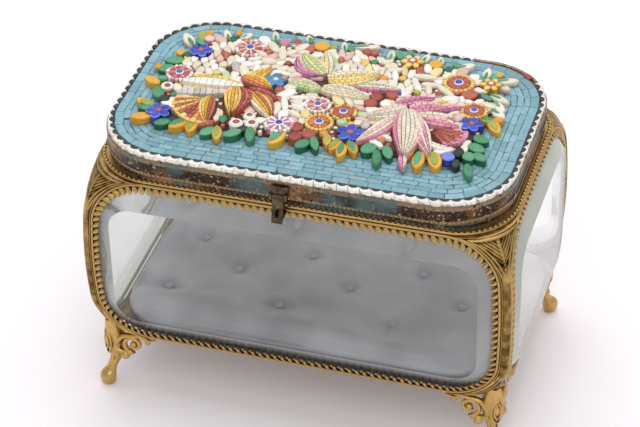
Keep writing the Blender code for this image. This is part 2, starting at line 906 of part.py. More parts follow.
def petal_ground(surface, home):
    """Bed of the bouquet with cream petals standing in it wherever flowers and birds leave room."""
    outline = rounded_rectangle(BOUQUET_HALF_W, BOUQUET_HALF_D, BOUQUET_RADIUS, 4, BOUQUET_CENTRE)
    bed = plate("petal_bed", outline, LEAF_TOP + GAP, BED_TOP, surface, home)
    petals = []
    half = PETAL_LENGTH / 2
    row_pitch = PETAL_PITCH * ROW_SQUEEZE
    rows = int(BOUQUET_HALF_D / row_pitch)
    columns = int(BOUQUET_HALF_W / PETAL_PITCH)
    for row in range(-rows, rows + 1):
        for column in range(-columns, columns + 1):
            across = (column + 0.5 * (row % 2)) * PETAL_PITCH
            along = row * row_pitch
            x = BOUQUET_CENTRE[0] + across
            y = BOUQUET_CENTRE[1] + along
            room_x = BOUQUET_HALF_W - 2 * half - abs(across)
            room_y = BOUQUET_HALF_D - half - abs(along)
            if room_x < 0 or room_y < 0 or taken(x, y, half):
                continue
            turn = math.radians(COLUMN_TURN * column + ROW_TURN * row)
            step = (half * math.cos(turn), half * math.sin(turn))
            shape = leaf_outline((x - step[0], y - step[1]), (x + step[0], y + step[1]), PETAL_WIDTH)
            low = BED_TOP - GAP
            petals.append(plate(f"petal_{len(petals)}", shape, low, PETAL_TOP, surface, home))
    return fuse("petal_ground", [bed, gathered("petals", petals, home)], home)


def spaced_along(outline, step):
    """Evenly spaced places along a closed outline, each with its outward heading in radians."""
    places = []
    size = len(outline)
    lengths = [math.dist(outline[i], outline[(i + 1) % size]) for i in range(size)]
    total = sum(lengths)
    count = round(total / step)
    for k in range(count):
        left = total * (k + 0.5) / count
        i = 0
        while left > lengths[i]:
            left -= lengths[i]
            i += 1
        (x0, y0), (x1, y1) = outline[i], outline[(i + 1) % size]
        share = left / lengths[i]
        heading = math.atan2(y1 - y0, x1 - x0) - math.pi / 2
        places.append((x0 + (x1 - x0) * share, y0 + (y1 - y0) * share, heading))
    return places


# Hinge and clasp


def hinge_lower(surface, home):
    """Leaf on the casket's back with two outer knuckles and the pin."""
    half = (HINGE_HALF - HINGE_KNUCKLE - GAP) / 2
    centre = HINGE_KNUCKLE + GAP + half
    behind = HINGE_LEAF_Y + LEAF_THICK
    axis = (0.0, HINGE_Y, HINGE_Z)
    pieces = [
        block(
            "lower_leaf",
            (-HINGE_HALF, HINGE_LEAF_Y, HINGE_LEAF_LOW),
            (HINGE_HALF, behind, HINGE_Z - LEAF_DROP),
            surface,
            home,
        ),
        rod("hinge_pin", axis, PIN_RADIUS, 2 * HINGE_HALF - PIN_SHORT, surface, home, sides=8),
    ]
    for side in (-1, 1):
        middle = side * centre
        low = (middle - half, behind - GAP, HINGE_Z - ARM_DROP[0])
        high = (middle + half, HINGE_Y - GAP, HINGE_Z - ARM_DROP[1])
        pieces.append(block(f"lower_arm_{side}", low, high, surface, home))
        place = (middle, HINGE_Y, HINGE_Z)
        pieces.append(rod(f"lower_knuckle_{side}", place, KNUCKLE_RADIUS, 2 * half, surface, home))
    return fuse("hinge_lower", pieces, home)


def hinge_upper(surface, home):
    """Leaf on the lid's back band with the middle knuckle, bored for the pin."""
    near = LID_HALF_D + MOULDING + GAP
    pieces = [
        block(
            "upper_leaf",
            (-HINGE_HALF, near, HINGE_Z + KNUCKLE_RADIUS + GAP),
            (HINGE_HALF, near + LEAF_THICK, LID_TOP - LEAF_TOP_GAP),
            surface,
            home,
        ),
        block(
            "upper_tongue",
            (-HINGE_KNUCKLE, near, HINGE_Z + TONGUE_RISE[0]),
            (HINGE_KNUCKLE, near + LEAF_THICK, HINGE_Z + TONGUE_RISE[1]),
            surface,
            home,
        ),
        rod("upper_knuckle", (0, HINGE_Y, HINGE_Z), KNUCKLE_RADIUS, 2 * HINGE_KNUCKLE, surface, home),
    ]
    bore = rod("bore", (0, HINGE_Y, HINGE_Z), BORE_RADIUS, BORE_LENGTH, surface, home, sides=8)
    return fuse("hinge_upper", pieces, home, cut=[bore])


def clasp_mount(surface, home):
    """Small plate on the lid's front band with two ears and a pin for the hasp."""
    near = -(LID_HALF_D + MOULDING + GAP)
    wide = CLASP_HALF + CLASP_EAR
    low = (CLASP_X - wide, near - CLASP_PLATE, CLASP_Z + BARREL_RADIUS + GAP)
    high = (CLASP_X + wide, near, CLASP_HIGH)
    pin_length = 2 * CLASP_HALF + CLASP_EAR
    pin = rod(
        "clasp_pin", (CLASP_X, CLASP_Y, CLASP_Z), CLASP_PIN_RADIUS, pin_length, surface, home, sides=6
    )
    pieces = [block("clasp_plate", low, high, surface, home), pin]
    for side in (-1, 1):
        edges = sorted((CLASP_X + side * CLASP_HALF, CLASP_X + side * wide))
        low = (edges[0], CLASP_Y - BARREL_RADIUS, CLASP_Z - BARREL_RADIUS)
        high = (edges[1], near, CLASP_Z + BARREL_RADIUS + 2 * GAP)
        pieces.append(block(f"clasp_ear_{side}", low, high, surface, home))
    return fuse("clasp_mount", pieces, home)


def clasp_tab(pivot, surface, home):
    """Slotted hasp with its origin on the clasp's pin, leaning out over the stud."""
    half = CLASP_HALF - GAP
    low = (-half, -CLASP_PLATE, -CLASP_LENGTH)
    pieces = [
        rod("tab_barrel", (0, 0, 0), BARREL_RADIUS, 2 * half, surface, home, sides=10),
        block("tab_plate", low, (half, 0.0, -GAP), surface, home),
    ]
    bore = rod("tab_bore", (0, 0, 0), BARREL_BORE, 4 * half, surface, home, sides=6)
    slot_low = (-SLOT_HALF, -2 * CLASP_PLATE, SLOT_LOW)
    slot_high = (SLOT_HALF, CLASP_PLATE, SLOT_HIGH)
    slot = block("tab_slot", slot_low, slot_high, surface, home)
    tab = fuse("clasp_tab", pieces, home, cut=[bore, slot])
    tab.parent = pivot
    tab.rotation_euler.x = math.radians(-CLASP_LEAN)
    return tab


def clasp_catch(surface, home):
    """Stud on the front frame that the hasp leans on."""
    near = -(CORNER_Y + bulge(CATCH_LOW) - FRAME_SET_BACK + GAP)
    lean = math.tan(math.radians(CLASP_LEAN))
    reach = CLASP_Y - (CLASP_Z - CATCH_HIGH) * lean + 2 * GAP
    low = (CLASP_X - CATCH_HALF, reach, CATCH_LOW)
    high = (CLASP_X + CATCH_HALF, near, CATCH_HIGH)
    return block("clasp_catch", low, high, surface, home)


def build():
    clear_scene()
    home = collection("micro_mosaic_jewelry_box")
    surfaces = {
        "gilt_brass": material("gilt_brass", (0.52, 0.33, 0.10), 0.35, 1.0),
        "dark_brass": material("dark_brass", (0.10, 0.08, 0.065), 0.5, 0.8),
        "clear_glass": material("clear_glass", (0.86, 0.92, 0.90), 0.03, 0.0, 0.25),
        "grey_silk": material("grey_silk", (0.30, 0.32, 0.37), 0.5),
        "sky_glass": material("sky_glass", (0.24, 0.52, 0.63), 0.35),
        "cream_glass": material("cream_glass", (0.86, 0.80, 0.70), 0.35),
        "leaf_glass": material("leaf_glass", (0.06, 0.33, 0.16), 0.35),
        "blue_glass": material("blue_glass", (0.06, 0.12, 0.62), 0.3),
        "pink_glass": material("pink_glass", (0.72, 0.28, 0.33), 0.35),
        "rust_glass": material("rust_glass", (0.62, 0.20, 0.09), 0.35),
        "orange_glass": material("orange_glass", (0.80, 0.36, 0.08), 0.35),
        "straw_glass": material("straw_glass", (0.80, 0.74, 0.42), 0.35),
        "rose_glass": material("rose_glass", (0.78, 0.36, 0.42), 0.35),
    }
    gilt = surfaces["gilt_brass"]
    dark = surfaces["dark_brass"]

    base_plate(gilt, home)
    silk_pad(surfaces["grey_silk"], home)
    for panel in PANELS:
        panel.frame(gilt, home)
        panel.pane(surfaces["clear_glass"], home)
    four_corners(corner_mount(gilt, home), "corner_mount", home)
    four_corners(foot(gilt, home), "foot", home)
    top_rim(dark, home)
    hinge_lower(dark, home)
    clasp_catch(gilt, home)

    lid = [
        lid_tray(dark, home),
        mosaic_border(surfaces["cream_glass"], home),
        mosaic_field(surfaces["sky_glass"], home),
        leaf_ground(surfaces["leaf_glass"], home),
        petal_ground(surfaces["cream_glass"], home),
        hinge_upper(dark, home),
        clasp_mount(dark, home),
    ]
    for name, x, y, radius, surface in FLOWERS:
        lid.append(flower(name, x, y, radius, surfaces[surface], home))
    for name, (surface, feathers) in BIRDS.items():
        lid.append(bird(name, feathers, surfaces[surface], home))

    hinge_pivot = pivot_at("lid_hinge_axis", (0.0, HINGE_Y, HINGE_Z), home)
    clasp_pivot = pivot_at("clasp_axis", (CLASP_X, CLASP_Y, CLASP_Z), home)
    clasp_tab(clasp_pivot, dark, home)
    hang(hinge_pivot, clasp_pivot, *lid)


build()
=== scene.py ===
# %% [markdown]
# # A gilt casket with a mosaic lid
# The box is a small brass casket of the late nineteenth century: four thick bevelled panes of glass
# in toothed frames, cast scroll feet, a buttoned silk pad, and a shallow lid packed with tiny cut
# pieces of coloured glass. The solids of the box are loaded as a frame, and each one is dressed here
# with a finer surface in the same place. All sizes below are in millimetres.

# %% The frame and the units
import math

import bmesh
import bpy
import numpy as np
from mathutils import Matrix, Vector


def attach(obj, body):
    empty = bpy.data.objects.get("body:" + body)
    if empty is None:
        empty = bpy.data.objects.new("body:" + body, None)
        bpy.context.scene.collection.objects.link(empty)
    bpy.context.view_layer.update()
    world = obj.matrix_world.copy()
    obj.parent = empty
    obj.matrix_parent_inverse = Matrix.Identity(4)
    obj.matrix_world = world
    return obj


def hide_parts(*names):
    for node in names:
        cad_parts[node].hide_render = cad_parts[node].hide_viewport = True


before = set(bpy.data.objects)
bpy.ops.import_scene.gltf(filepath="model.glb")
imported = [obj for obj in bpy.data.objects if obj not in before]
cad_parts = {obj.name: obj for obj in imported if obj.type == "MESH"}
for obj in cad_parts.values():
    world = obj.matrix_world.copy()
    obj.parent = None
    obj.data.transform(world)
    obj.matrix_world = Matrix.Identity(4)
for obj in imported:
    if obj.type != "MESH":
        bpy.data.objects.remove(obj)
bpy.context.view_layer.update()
MM = 0.001
rng = np.random.default_rng(11)
print("nodes to dress:", len(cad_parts))

# %% [markdown]
# ## Camera first
# A photograph fixes where the eye was. Here the eye stands a little right of the front and looks
# down by 37 degrees through a long lens, so that upright lines stay almost upright. Building the
# camera from three unit vectors is clearer than from three Euler angles: one points back at the
# eye, one to the right, one up, and a small roll mixes the last two.

# %% Camera
AZIMUTH, ELEVATION, ROLL = (math.radians(a) for a in (17.743, 37.041, -1.443))
EYE = np.array([206.84, -657.46, 579.07])
LENS, SENSOR = 141.27, 36.0


def add_camera():
    """The eye's back vector is (sin a cos e, -cos a cos e, sin e); right is level; up completes them."""
    level = math.cos(ELEVATION)
    back = np.array([math.sin(AZIMUTH) * level, -math.cos(AZIMUTH) * level, math.sin(ELEVATION)])
    right = np.cross([0.0, 0.0, 1.0], back)
    right /= np.linalg.norm(right)
    up = np.cross(back, right)
    turned = math.cos(ROLL) * right + math.sin(ROLL) * up
    raised = -math.sin(ROLL) * right + math.cos(ROLL) * up
    camera = bpy.data.objects.new("camera", bpy.data.cameras.new("camera"))
    camera.data.lens = LENS
    camera.data.sensor_width = SENSOR
    camera.data.clip_end = 20.0
    pose = np.eye(4)
    pose[:3, :3] = np.column_stack([turned, raised, back])
    pose[:3, 3] = EYE * MM
    camera.matrix_world = Matrix(pose.tolist())
    bpy.context.scene.collection.objects.link(camera)
    bpy.context.scene.camera = camera


add_camera()
print("eye at", EYE, "mm, lens", LENS, "mm")

# %% [markdown]
# ## Small tools for finishes
# Every finish below is a node tree. One function turns a colour from the hex code that a painter
# would read off a screen into the linear light that the renderer wants. Another adds a node with its
# settings and its links in one line, so a recipe reads from top to bottom. The rest are the few
# steps that most recipes share: mix two colours, stretch a value, draw blotches of a given size.

# %% Colours and nodes


def linear(code):
    """sRGB to linear light: a straight line near black, a power of 2.4 above it."""
    parts = np.array([int(code[i : i + 2], 16) for i in (1, 3, 5)]) / 255
    light = np.where(parts <= 0.04045, parts / 12.92, ((parts + 0.055) / 1.055) ** 2.4)
    return (*light.tolist(), 1.0)


def add(tree, kind, inputs=(), **settings):
    """One node: settings are its properties, inputs are pairs of a socket and a value or a link."""
    made = tree.nodes.new("ShaderNode" + kind)
    for key, value in settings.items():
        setattr(made, key, value)
    for socket, value in inputs:
        if isinstance(value, bpy.types.NodeSocket):
            tree.links.new(value, made.inputs[socket])
        elif isinstance(value, str):
            made.inputs[socket].default_value = linear(value)
        else:
            made.inputs[socket].default_value = value
    return made


def new_finish(name, roughness, metallic=0.0, **plain):
    """A material with one Principled shader. plain sets its other sockets by name."""
    made = bpy.data.materials.new(name)
    made.use_nodes = True
    shader = made.node_tree.nodes["Principled BSDF"]
    shader.inputs["Roughness"].default_value = roughness
    shader.inputs["Metallic"].default_value = metallic
    for key, value in plain.items():
        shader.inputs[key.replace("_", " ")].default_value = value
    return made, made.node_tree, shader


def blend_colours(tree, share, low, high):
    """A mix of two colours, each a hex code or a link, by a share from 0 to 1."""
    made = add(tree, "Mix", data_type="RGBA", inputs=[(0, share), (6, low), (7, high)])
    return made.outputs[2]


def spread(tree, value, start, end, low=0.0, high=1.0):
    """Stretches a value from start..end to low..high and stops it there."""
    return add(tree, "MapRange", inputs=[(0, value), (1, start), (2, end), (3, low), (4, high)]).outputs[0]


def noise(tree, grain_mm, detail=3.0):
    """Noise whose blotches are about grain_mm wide, on the piece's own coordinates in metres."""
    place = add(tree, "TexCoord").outputs["Object"]
    settings = [("Vector", place), ("Scale", 1 / MM / grain_mm), ("Detail", detail), ("Roughness", 0.55)]
    return add(tree, "TexNoise", inputs=settings).outputs["Fac"]


def height_mm(tree):
    """The height above the table in millimetres, from the piece's own coordinates."""
    place = add(tree, "TexCoord").outputs["Object"]
    z = add(tree, "SeparateXYZ", inputs=[(0, place)]).outputs["Z"]
    return add(tree, "Math", operation="MULTIPLY", inputs=[(0, z), (1, 1 / MM)]).outputs[0]


def bump(tree, shader, height, depth_mm, strength=1.0):
    """Small relief: a height from 0 to 1 becomes depth_mm of bump."""
    settings = [("Strength", strength), ("Distance", depth_mm * MM), ("Height", height)]
    tree.links.new(add(tree, "Bump", inputs=settings).outputs[0], shader.inputs["Normal"])


def mottled(name, roughness, grain_mm, dark, light, pits=None, **plain):
    """A finish that wanders between two shades. pits are the grain and the depth of its bump."""
    made, tree, shader = new_finish(name, roughness, **plain)
    colour = blend_colours(tree, noise(tree, grain_mm), dark, light)
    tree.links.new(colour, shader.inputs["Base Color"])
    if pits:
        grain, depth = pits
        bump(tree, shader, noise(tree, grain), depth)
    return made


# %% [markdown]
# ## One heap for many small solids
# The lid alone has more than a thousand pieces of glass, and no one models those by hand. Each kind
# is a formula on arrays: a stack of rings for every piece at once. The heap below joins such stacks
# into one mesh, closes both ends, and remembers for each point a random number of its piece, so that
# a finish can make neighbours differ. The alternative, one object for each piece, would be slow.

# %% Heap of solids


class Heap:
    """Closed solids gathered as arrays, then made one mesh."""

    def __init__(self):
        self.points, self.faces, self.finish, self.chip = [], [], [], []
        self.total = 0

    def stack(self, rings, finish=0):
        """Solids through rings. rings is (count, rows, columns, 3) in mm.

        Each ring joins the next by quads, and the first and last are closed by one face each.
        finish is one number, or rows + 1 of them: foot, the bands between rings, top.
        """
        rings = np.asarray(rings, float)
        count, rows, columns, _ = rings.shape
        row, column = np.meshgrid(np.arange(rows - 1), np.arange(columns), indexing="ij")
        beside = (column + 1) % columns
        quads = np.stack([row * columns + column, row * columns + beside], -1)
        quads = np.concatenate([quads, quads[..., ::-1] + columns], -1)
        first = self.total + np.arange(count)[:, None, None, None] * rows * columns
        bands = (quads[None] + first).reshape(-1, 4)
        around = np.arange(columns)
        feet = around[::-1][None] + first[:, 0, 0]
        tops = around[None] + (rows - 1) * columns + first[:, 0, 0]
        finishes = np.broadcast_to(np.atleast_1d(finish), (rows + 1,))
        of_bands = np.tile(np.repeat(finishes[1:-1], columns), count)
        self.faces += [bands, feet, tops]
        self.finish += [of_bands, np.full(count, finishes[0]), np.full(count, finishes[-1])]
        self.points.append(rings.reshape(-1, 3))
        self.chip.append(np.repeat(rng.random(count), rows * columns))
        self.total += count * rows * columns

    def tubes(self, rings, finish=0):
        """Endless solids such as hoops: the last ring joins the first. rings is (rows, columns, 3)."""
        rings = np.asarray(rings, float)
        rows, columns, _ = rings.shape
        row, column = np.meshgrid(np.arange(rows), np.arange(columns), indexing="ij")
        beside = (column + 1) % columns
        this, ahead = row * columns, (row + 1) % rows * columns
        quads = np.stack([this + column, this + beside, ahead + beside, ahead + column], -1)
        self.faces.append(quads.reshape(-1, 4) + self.total)
        self.finish.append(np.tile(np.broadcast_to(np.atleast_1d(finish), (columns,)), rows))
        self.points.append(rings.reshape(-1, 3))
        self.chip.append(np.full(rows * columns, rng.random()))
        self.total += rows * columns

    def mirrored(self, flip_x, flip_y):
        """A copy of the heap on the other side of the box."""
        made = Heap()
        sides = np.array([-1.0 if flip_x else 1.0, -1.0 if flip_y else 1.0, 1.0])
        made.points = [p * sides for p in self.points]
        made.faces, made.finish, made.chip = self.faces, self.finish, self.chip
        made.total = self.total
        return made

    def make(self, name, finishes, body, nodes=(), slot=None, sharp=32.0, wear=0):
        """The mesh at the origin, faces outwards, riding on its body in place of the named nodes.

        slot is not used.
        """
        mesh = bpy.data.meshes.new(name)
        points = np.concatenate(self.points) * MM
        corners = np.concatenate([f.ravel() for f in self.faces])
        sizes = np.concatenate([np.full(len(f), f.shape[1]) for f in self.faces])
        mesh.vertices.add(len(points))
        mesh.vertices.foreach_set("co", points.ravel())
        mesh.loops.add(len(corners))
        mesh.loops.foreach_set("vertex_index", corners.astype(np.int32))
        mesh.polygons.add(len(sizes))
        mesh.polygons.foreach_set("loop_start", (np.cumsum(sizes) - sizes).astype(np.int32))
        mesh.polygons.foreach_set("material_index", np.concatenate(self.finish).astype(np.int32))
        mesh.update(calc_edges=True)
        chip = mesh.attributes.new("chip", "FLOAT", "POINT")
        chip.data.foreach_set("value", np.concatenate(self.chip).astype(np.float32))
        for material in finishes:
            mesh.materials.append(material)
        body_mesh = bmesh.new()
        body_mesh.from_mesh(mesh)
        bmesh.ops.recalc_face_normals(body_mesh, faces=body_mesh.faces[:])
        body_mesh.to_mesh(mesh)
        body_mesh.free()
        if wear:
            mark_wear_and_shade(mesh, wear)
        mesh.shade_smooth()
        mesh.set_sharp_from_angle(angle=math.radians(sharp))
        obj = bpy.data.objects.new(name, mesh)
        bpy.context.scene.collection.objects.link(obj)
        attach(obj, body)
        if nodes:
            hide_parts(*nodes)
        print(f"{name}: {len(mesh.polygons)} faces")
        return obj


# %% Where metal is rubbed, and painted shade in its crevices
CREVICE_REACH, CREVICE_CELL = 1.6, 0.9
CREVICE_DIRT_AND_SHADE, CREVICE_POINTS = 0.032, 3.0


def read(items, name, width=3, kind=float):
    """One property of all vertices or edges of a mesh, as an array with a row for each."""
    flat = np.empty(len(items) * width, kind)
    items.foreach_get(name, flat)
    return flat.reshape(-1, width)


def neighbours_mean(values, one, other):
    """The mean of each point's neighbours: both ends of each edge add to one another, then divide."""
    size = len(values)
    sums = [np.bincount(one, v[other], size) + np.bincount(other, v[one], size) for v in values.T]
    seen = np.bincount(one, minlength=size) + np.bincount(other, minlength=size)
    return np.stack(sums, -1) / np.maximum(seen, 1)[:, None]


def crowding(place, normal):
    """Points of the mesh in the cell that lies in front of each point: none on open faces."""
    start = place.min(0) - 3 * CREVICE_CELL
    cells = np.floor((place - start) / CREVICE_CELL).astype(int)
    held = np.zeros(cells.max(0) + 4)
    np.add.at(held, tuple(cells.T), 1.0)
    front = np.floor((place + normal * CREVICE_REACH - start) / CREVICE_CELL).astype(int)
    return held[tuple(front.T)]


def mark_wear_and_shade(mesh, rounds):
    """Writes "proud": how far each point stands out of a smoothed copy of the mesh, in mm.

    The copy is made by moving all points to the middle of their neighbours, as often as rounds says.
    proud is (point - copy) . normal, less CREVICE_DIRT_AND_SHADE for each point close in front, at most
    three
    of them: such points lie in a crevice, where dirt stays; this darkening is partly painted shade.
    """
    place = read(mesh.vertices, "co") / MM
    normal = read(mesh.vertex_normals, "vector")
    one, other = read(mesh.edges, "vertices", 2, np.int32).T
    smooth = place
    for _ in range(rounds):
        smooth = neighbours_mean(smooth, one, other)
    crowd = crowding(place, normal)[:, None]
    for _ in range(2):
        crowd = neighbours_mean(crowd, one, other)
    # Crowded points lower proud and so darken the brass in crevices: partly dirt, partly painted shade.
    proud = ((place - smooth) * normal).sum(1) - CREVICE_DIRT_AND_SHADE * np.minimum(crowd[:, 0], CREVICE_POINTS)
    attribute = mesh.attributes.new("proud", "FLOAT", "POINT")
    attribute.data.foreach_set("value", proud.astype(np.float32))


# %% [markdown]
# ## Glass paste
# Smalti are cut from slabs of opaque glass: evenly coloured, a little streaky, with a soft shine on
# the broken face. Each colour is one finish made of three: the usual shade, a lighter neighbour, and
# the grime of old mastic that has crept up the sides. The random number of each chip moves its
# shade, and its height above the lid brings in the grime. One recipe serves all twenty-one colours.

# %% Smalti finishes
MASTIC = "#4b3a2e"
FIELD_Z = 103.1
GRIME = 0.7
STREAK, STAIN = 0.9, 2.5


def smalti(name, usual, lighter, grime_top=104.2):
    """Opaque glass paste: IOR 1.5, the soft shine of a broken face, and streaks 0.9 mm wide.

    Real streaks are finer, and are drawn as coarse as they need to show. Grime fades out over GRIME
    mm below grime_top, and a noise moves that line up and down by as much.
    """
    made, tree, shader = new_finish(name, 0.34, IOR=1.5)
    own = add(tree, "Attribute", attribute_name="chip").outputs["Fac"]
    streak = noise(tree, STREAK, detail=4.0)
    mixed = add(tree, "Math", operation="MULTIPLY_ADD", inputs=[(0, own), (1, 0.6), (2, streak)])
    colour = blend_colours(tree, spread(tree, mixed.outputs[0], 0.35, 1.1), usual, lighter)
    wander = spread(tree, noise(tree, STAIN), 0.3, 0.7, -GRIME, GRIME)
    z = add(tree, "Math", operation="ADD", inputs=[(0, height_mm(tree)), (1, wander)])
    soiled = spread(tree, z.outputs[0], grime_top, min(grime_top, FIELD_Z) - GRIME, 0.0, 0.8)
    colour = blend_colours(tree, soiled, colour, MASTIC)
    tree.links.new(colour, shader.inputs["Base Color"])
    bump(tree, shader, streak, 0.05, 0.5)
    return made


SMALTI = {
    "cream": smalti("cream_smalti", "#d9cdb6", "#eee5d4"),
    "white": smalti("white_smalti", "#e6e0d6", "#f7f4ee"),
    "grey": smalti("silver_grey_smalti", "#b3aca6", "#d6d1cb"),
    "green": smalti("leaf_green_smalti", "#2f7d53", "#62a67e", 103.6),
    "deep": smalti("deep_green_smalti", "#155238", "#2b7350", 103.4),
    "olive": smalti("olive_smalti", "#84903a", "#b3b452"),
    "amber": smalti("amber_smalti", "#cc8d1f", "#e8b03a", 103.6),
    "gold": smalti("gold_yellow_smalti", "#d6a63e", "#ecca6c"),
    "orange": smalti("orange_smalti", "#cf7c2b", "#e39a48"),
    "straw": smalti("straw_smalti", "#d9c57f", "#ebdfa8"),
    "mint": smalti("pale_green_smalti", "#a3c08c", "#cdddb0"),
    "rust": smalti("rust_smalti", "#a14d38", "#c3705a"),
    "red": smalti("brick_red_smalti", "#8e382c", "#ab5244"),
    "pink": smalti("pink_smalti", "#c9728f", "#e09cb0"),
    "blush": smalti("blush_smalti", "#d9a9a0", "#ecd0c8"),
    "mauve": smalti("mauve_smalti", "#a45583", "#c585ab"),
    "blue": smalti("cobalt_smalti", "#232c96", "#3f50c4"),
    "pale_blue": smalti("pale_cobalt_smalti", "#5266cf", "#8496e4"),
    "teal": smalti("teal_blue_smalti", "#2a6c9c", "#4a8fba"),
    "black": smalti("black_green_smalti", "#15191a", "#2c3231"),
    "lemon": smalti("lemon_smalti", "#e0b550", "#f0d484"),
}
PALETTE = list(SMALTI)
FINISHES = list(SMALTI.values())


def shade(word):
    """The place of a colour in the list of finishes that every mosaic piece carries."""
    return PALETTE.index(word)


print("glass colours:", len(PALETTE))


# %% [markdown]
# ## Outlines that chips are cut to
# A chip is drawn flat, one unit long, and then laid where it belongs. Powers of the sine sharpen an
# ellipse into a leaf: a power above one draws its end to a point, below one makes it blunt. All the
# chips of a kind are laid in one step, as an array of outlines.

# %% Chip outlines


def oval(corners=12, tip=1.0, root=1.0):
    """x = cos t / 2, y = sin t / 2 with |sin t| raised to tip in front and to root behind."""
    t = (np.arange(corners) + 0.5) * 2 * np.pi / corners
    power = np.where(np.cos(t) > 0, tip, root)
    return np.stack([np.cos(t), np.sign(np.sin(t)) * np.abs(np.sin(t)) ** power], -1) / 2


def lay(shape, x, y, length, width, heading):
    """Stretches a unit outline to length and width, turns it to heading in degrees, and moves it."""
    values = np.broadcast_arrays(*map(np.atleast_1d, (x, y, length, width, np.radians(heading))))
    x, y, length, width, turn = (value[:, None] for value in values)
    c, s = np.cos(turn), np.sin(turn)
    u, v = shape[None, :, 0] * length, shape[None, :, 1] * width
    return np.stack([x + u * c - v * s, y + u * s + v * c], -1)


def chips(heap, outlines, low, top, finish, edge=None, side=None, bevel=0.22, crown=0.12, lean=0.0):
    """Cut chips at once: straight sides from low, a narrow bevel, and a slightly crowned face at top.

    Rings are the outline at low and at top - bevel, then the outline drawn in by bevel at top, then
    a small ring at the middle, crown higher. lean tips each face by up to that many mm, at random.
    """
    outlines = np.asarray(outlines, float)
    count = len(outlines)
    low, top = np.broadcast_to(low, (count,)), np.broadcast_to(top, (count,))
    middle = outlines.mean(1, keepdims=True)
    out = outlines - middle
    size = np.linalg.norm(out, axis=2, keepdims=True)
    inner = out * np.clip(1 - bevel / np.maximum(size, 1e-6), 0.3, 1.0)
    slope = rng.uniform(-lean, lean, (count, 1, 2)) / size.mean(1, keepdims=True)
    levels = ((out, low, 0), (out, top - bevel, 1), (inner, top, 1), (inner * 0.45, top + crown, 1))
    rings = []
    for flat, z, tipped in levels:
        rise = (flat * slope).sum(-1) * tipped
        rings.append(np.concatenate([middle + flat, (z[:, None] + rise)[..., None]], -1))
    side = finish if side is None else side
    edge = finish if edge is None else edge
    heap.stack(np.stack(rings, 1), [side, side, edge, finish, finish])


# %% [markdown]
# ## Round rectangles
# The lid, its rows of tesserae and the casket's rim all follow one outline, a rectangle with round
# corners. It is walked at an even step, and each place knows which way is out, so any moulding is
# that walk plus a profile. A curve with a bevel object would give the same sweep, but not the
# places where single tesserae and beads go.

# %% Walk round a rectangle
LID_HALF_W, LID_HALF_D, LID_R = 70.0, 42.9, 24.2


def walk(half_w, half_d, radius, steps):
    """Places on a rounded rectangle and the outward normals there, evenly spaced, anticlockwise.

    The length runs along the right side, a quarter circle, the back, and so on; np.interp turns an
    even share of the whole length into a place on the fine outline.
    """
    angle = np.radians(np.linspace(0, 90, 33))
    corners = []
    for k, (sx, sy) in enumerate(((1, 1), (-1, 1), (-1, -1), (1, -1))):
        turned = angle + k * np.pi / 2
        out = np.stack([np.cos(turned), np.sin(turned)], -1)
        centre = np.array([sx * (half_w - radius), sy * (half_d - radius)])
        corners.append(np.concatenate([centre + radius * out, out], -1))
    fine = np.concatenate(corners + [corners[0][:1]])
    gaps = np.linalg.norm(np.diff(fine[:, :2], axis=0), axis=1)
    along = np.concatenate([[0.0], np.cumsum(gaps)])
    where = along[-1] * np.arange(steps) / steps
    row = np.stack([np.interp(where, along, fine[:, k]) for k in range(4)], -1)
    normal = row[:, 2:] / np.linalg.norm(row[:, 2:], axis=1, keepdims=True)
    return row[:, :2], normal, along[-1]


def lid_walk(inset, steps):
    """The outline of the lid's brass, drawn in by inset."""
    return walk(LID_HALF_W - inset, LID_HALF_D - inset, LID_R - inset, steps)


def sweep(heap, place, normal, profile, finish=0):
    """A hoop: profile is (outward, z) in mm, carried along the places with their outward normals."""
    profile = np.asarray(profile, float)
    flat = place[:, None] + normal[:, None] * profile[None, :, :1]
    z = np.broadcast_to(profile[None, :, 1:], (*flat.shape[:2], 1))
    heap.tubes(np.concatenate([flat, z], -1), finish)


def slab(heap, place, low, high, finish=0, soften=0.2):
    """A flat plate with a softened rim, filling an outline."""
    middle = place.mean(0)
    inner = middle + (place - middle) * (1 - soften / np.abs(place - middle).max())
    levels = ((inner, low), (place, low + soften), (place, high - soften), (inner, high))
    rings = [np.concatenate([flat, np.full((len(flat), 1), z)], -1) for flat, z in levels]
    heap.stack(np.stack(rings)[None], finish)


# %% [markdown]
# ## The blue ground
# Between the border and the flowers lie rows of sky-blue glass, each row one step further in from
# the edge, so that they run round the lid like the rings of a tree. The joints are filled with a
# grey-blue grout that is hardly darker than the glass, and only here and there shows as a dark dot.
# Rows are made from the same walk: four corners for each piece, with small errors of the hand.
# Brown stains lie over glass and grout alike, so they come from a noise and not from the chips.

# %% Ground
FIELD_HALF_W, FIELD_HALF_D, FIELD_R = 68.2, 40.0, 22.2
FIRST_ROW, ROW_PITCH, ROWS = 2.9, 2.15, 8
FIRST_LONG, ROW_LONG = 6.3, 5.4
JOINT = 0.2
BED_LOW = 96.6

sky, sky_tree, sky_shader = new_finish("sky_blue_smalti", 0.3, IOR=1.5)
sky_chip = add(sky_tree, "Attribute", attribute_name="chip").outputs["Fac"]
sky_streak = noise(sky_tree, 1.6, detail=4.0)
sky_parts = [(0, sky_chip), (1, 0.7), (2, sky_streak)]
sky_mixed = add(sky_tree, "Math", operation="MULTIPLY_ADD", inputs=sky_parts).outputs[0]
sky_colour = blend_colours(sky_tree, spread(sky_tree, sky_mixed, 0.4, 1.15), "#6d97a4", "#8db8c5")
sky_stain = spread(sky_tree, noise(sky_tree, 9.0, detail=6.0), 0.54, 0.72, 0.0, 0.5)
sky_colour = blend_colours(sky_tree, sky_stain, sky_colour, "#8d9690")
sky_tree.links.new(sky_colour, sky_shader.inputs["Base Color"])
bump(sky_tree, sky_shader, sky_streak, 0.06, 0.6)

mastic = mottled("aged_mastic", 0.8, 1.2, "#3a2219", "#6d4536", pits=(0.6, 0.15))

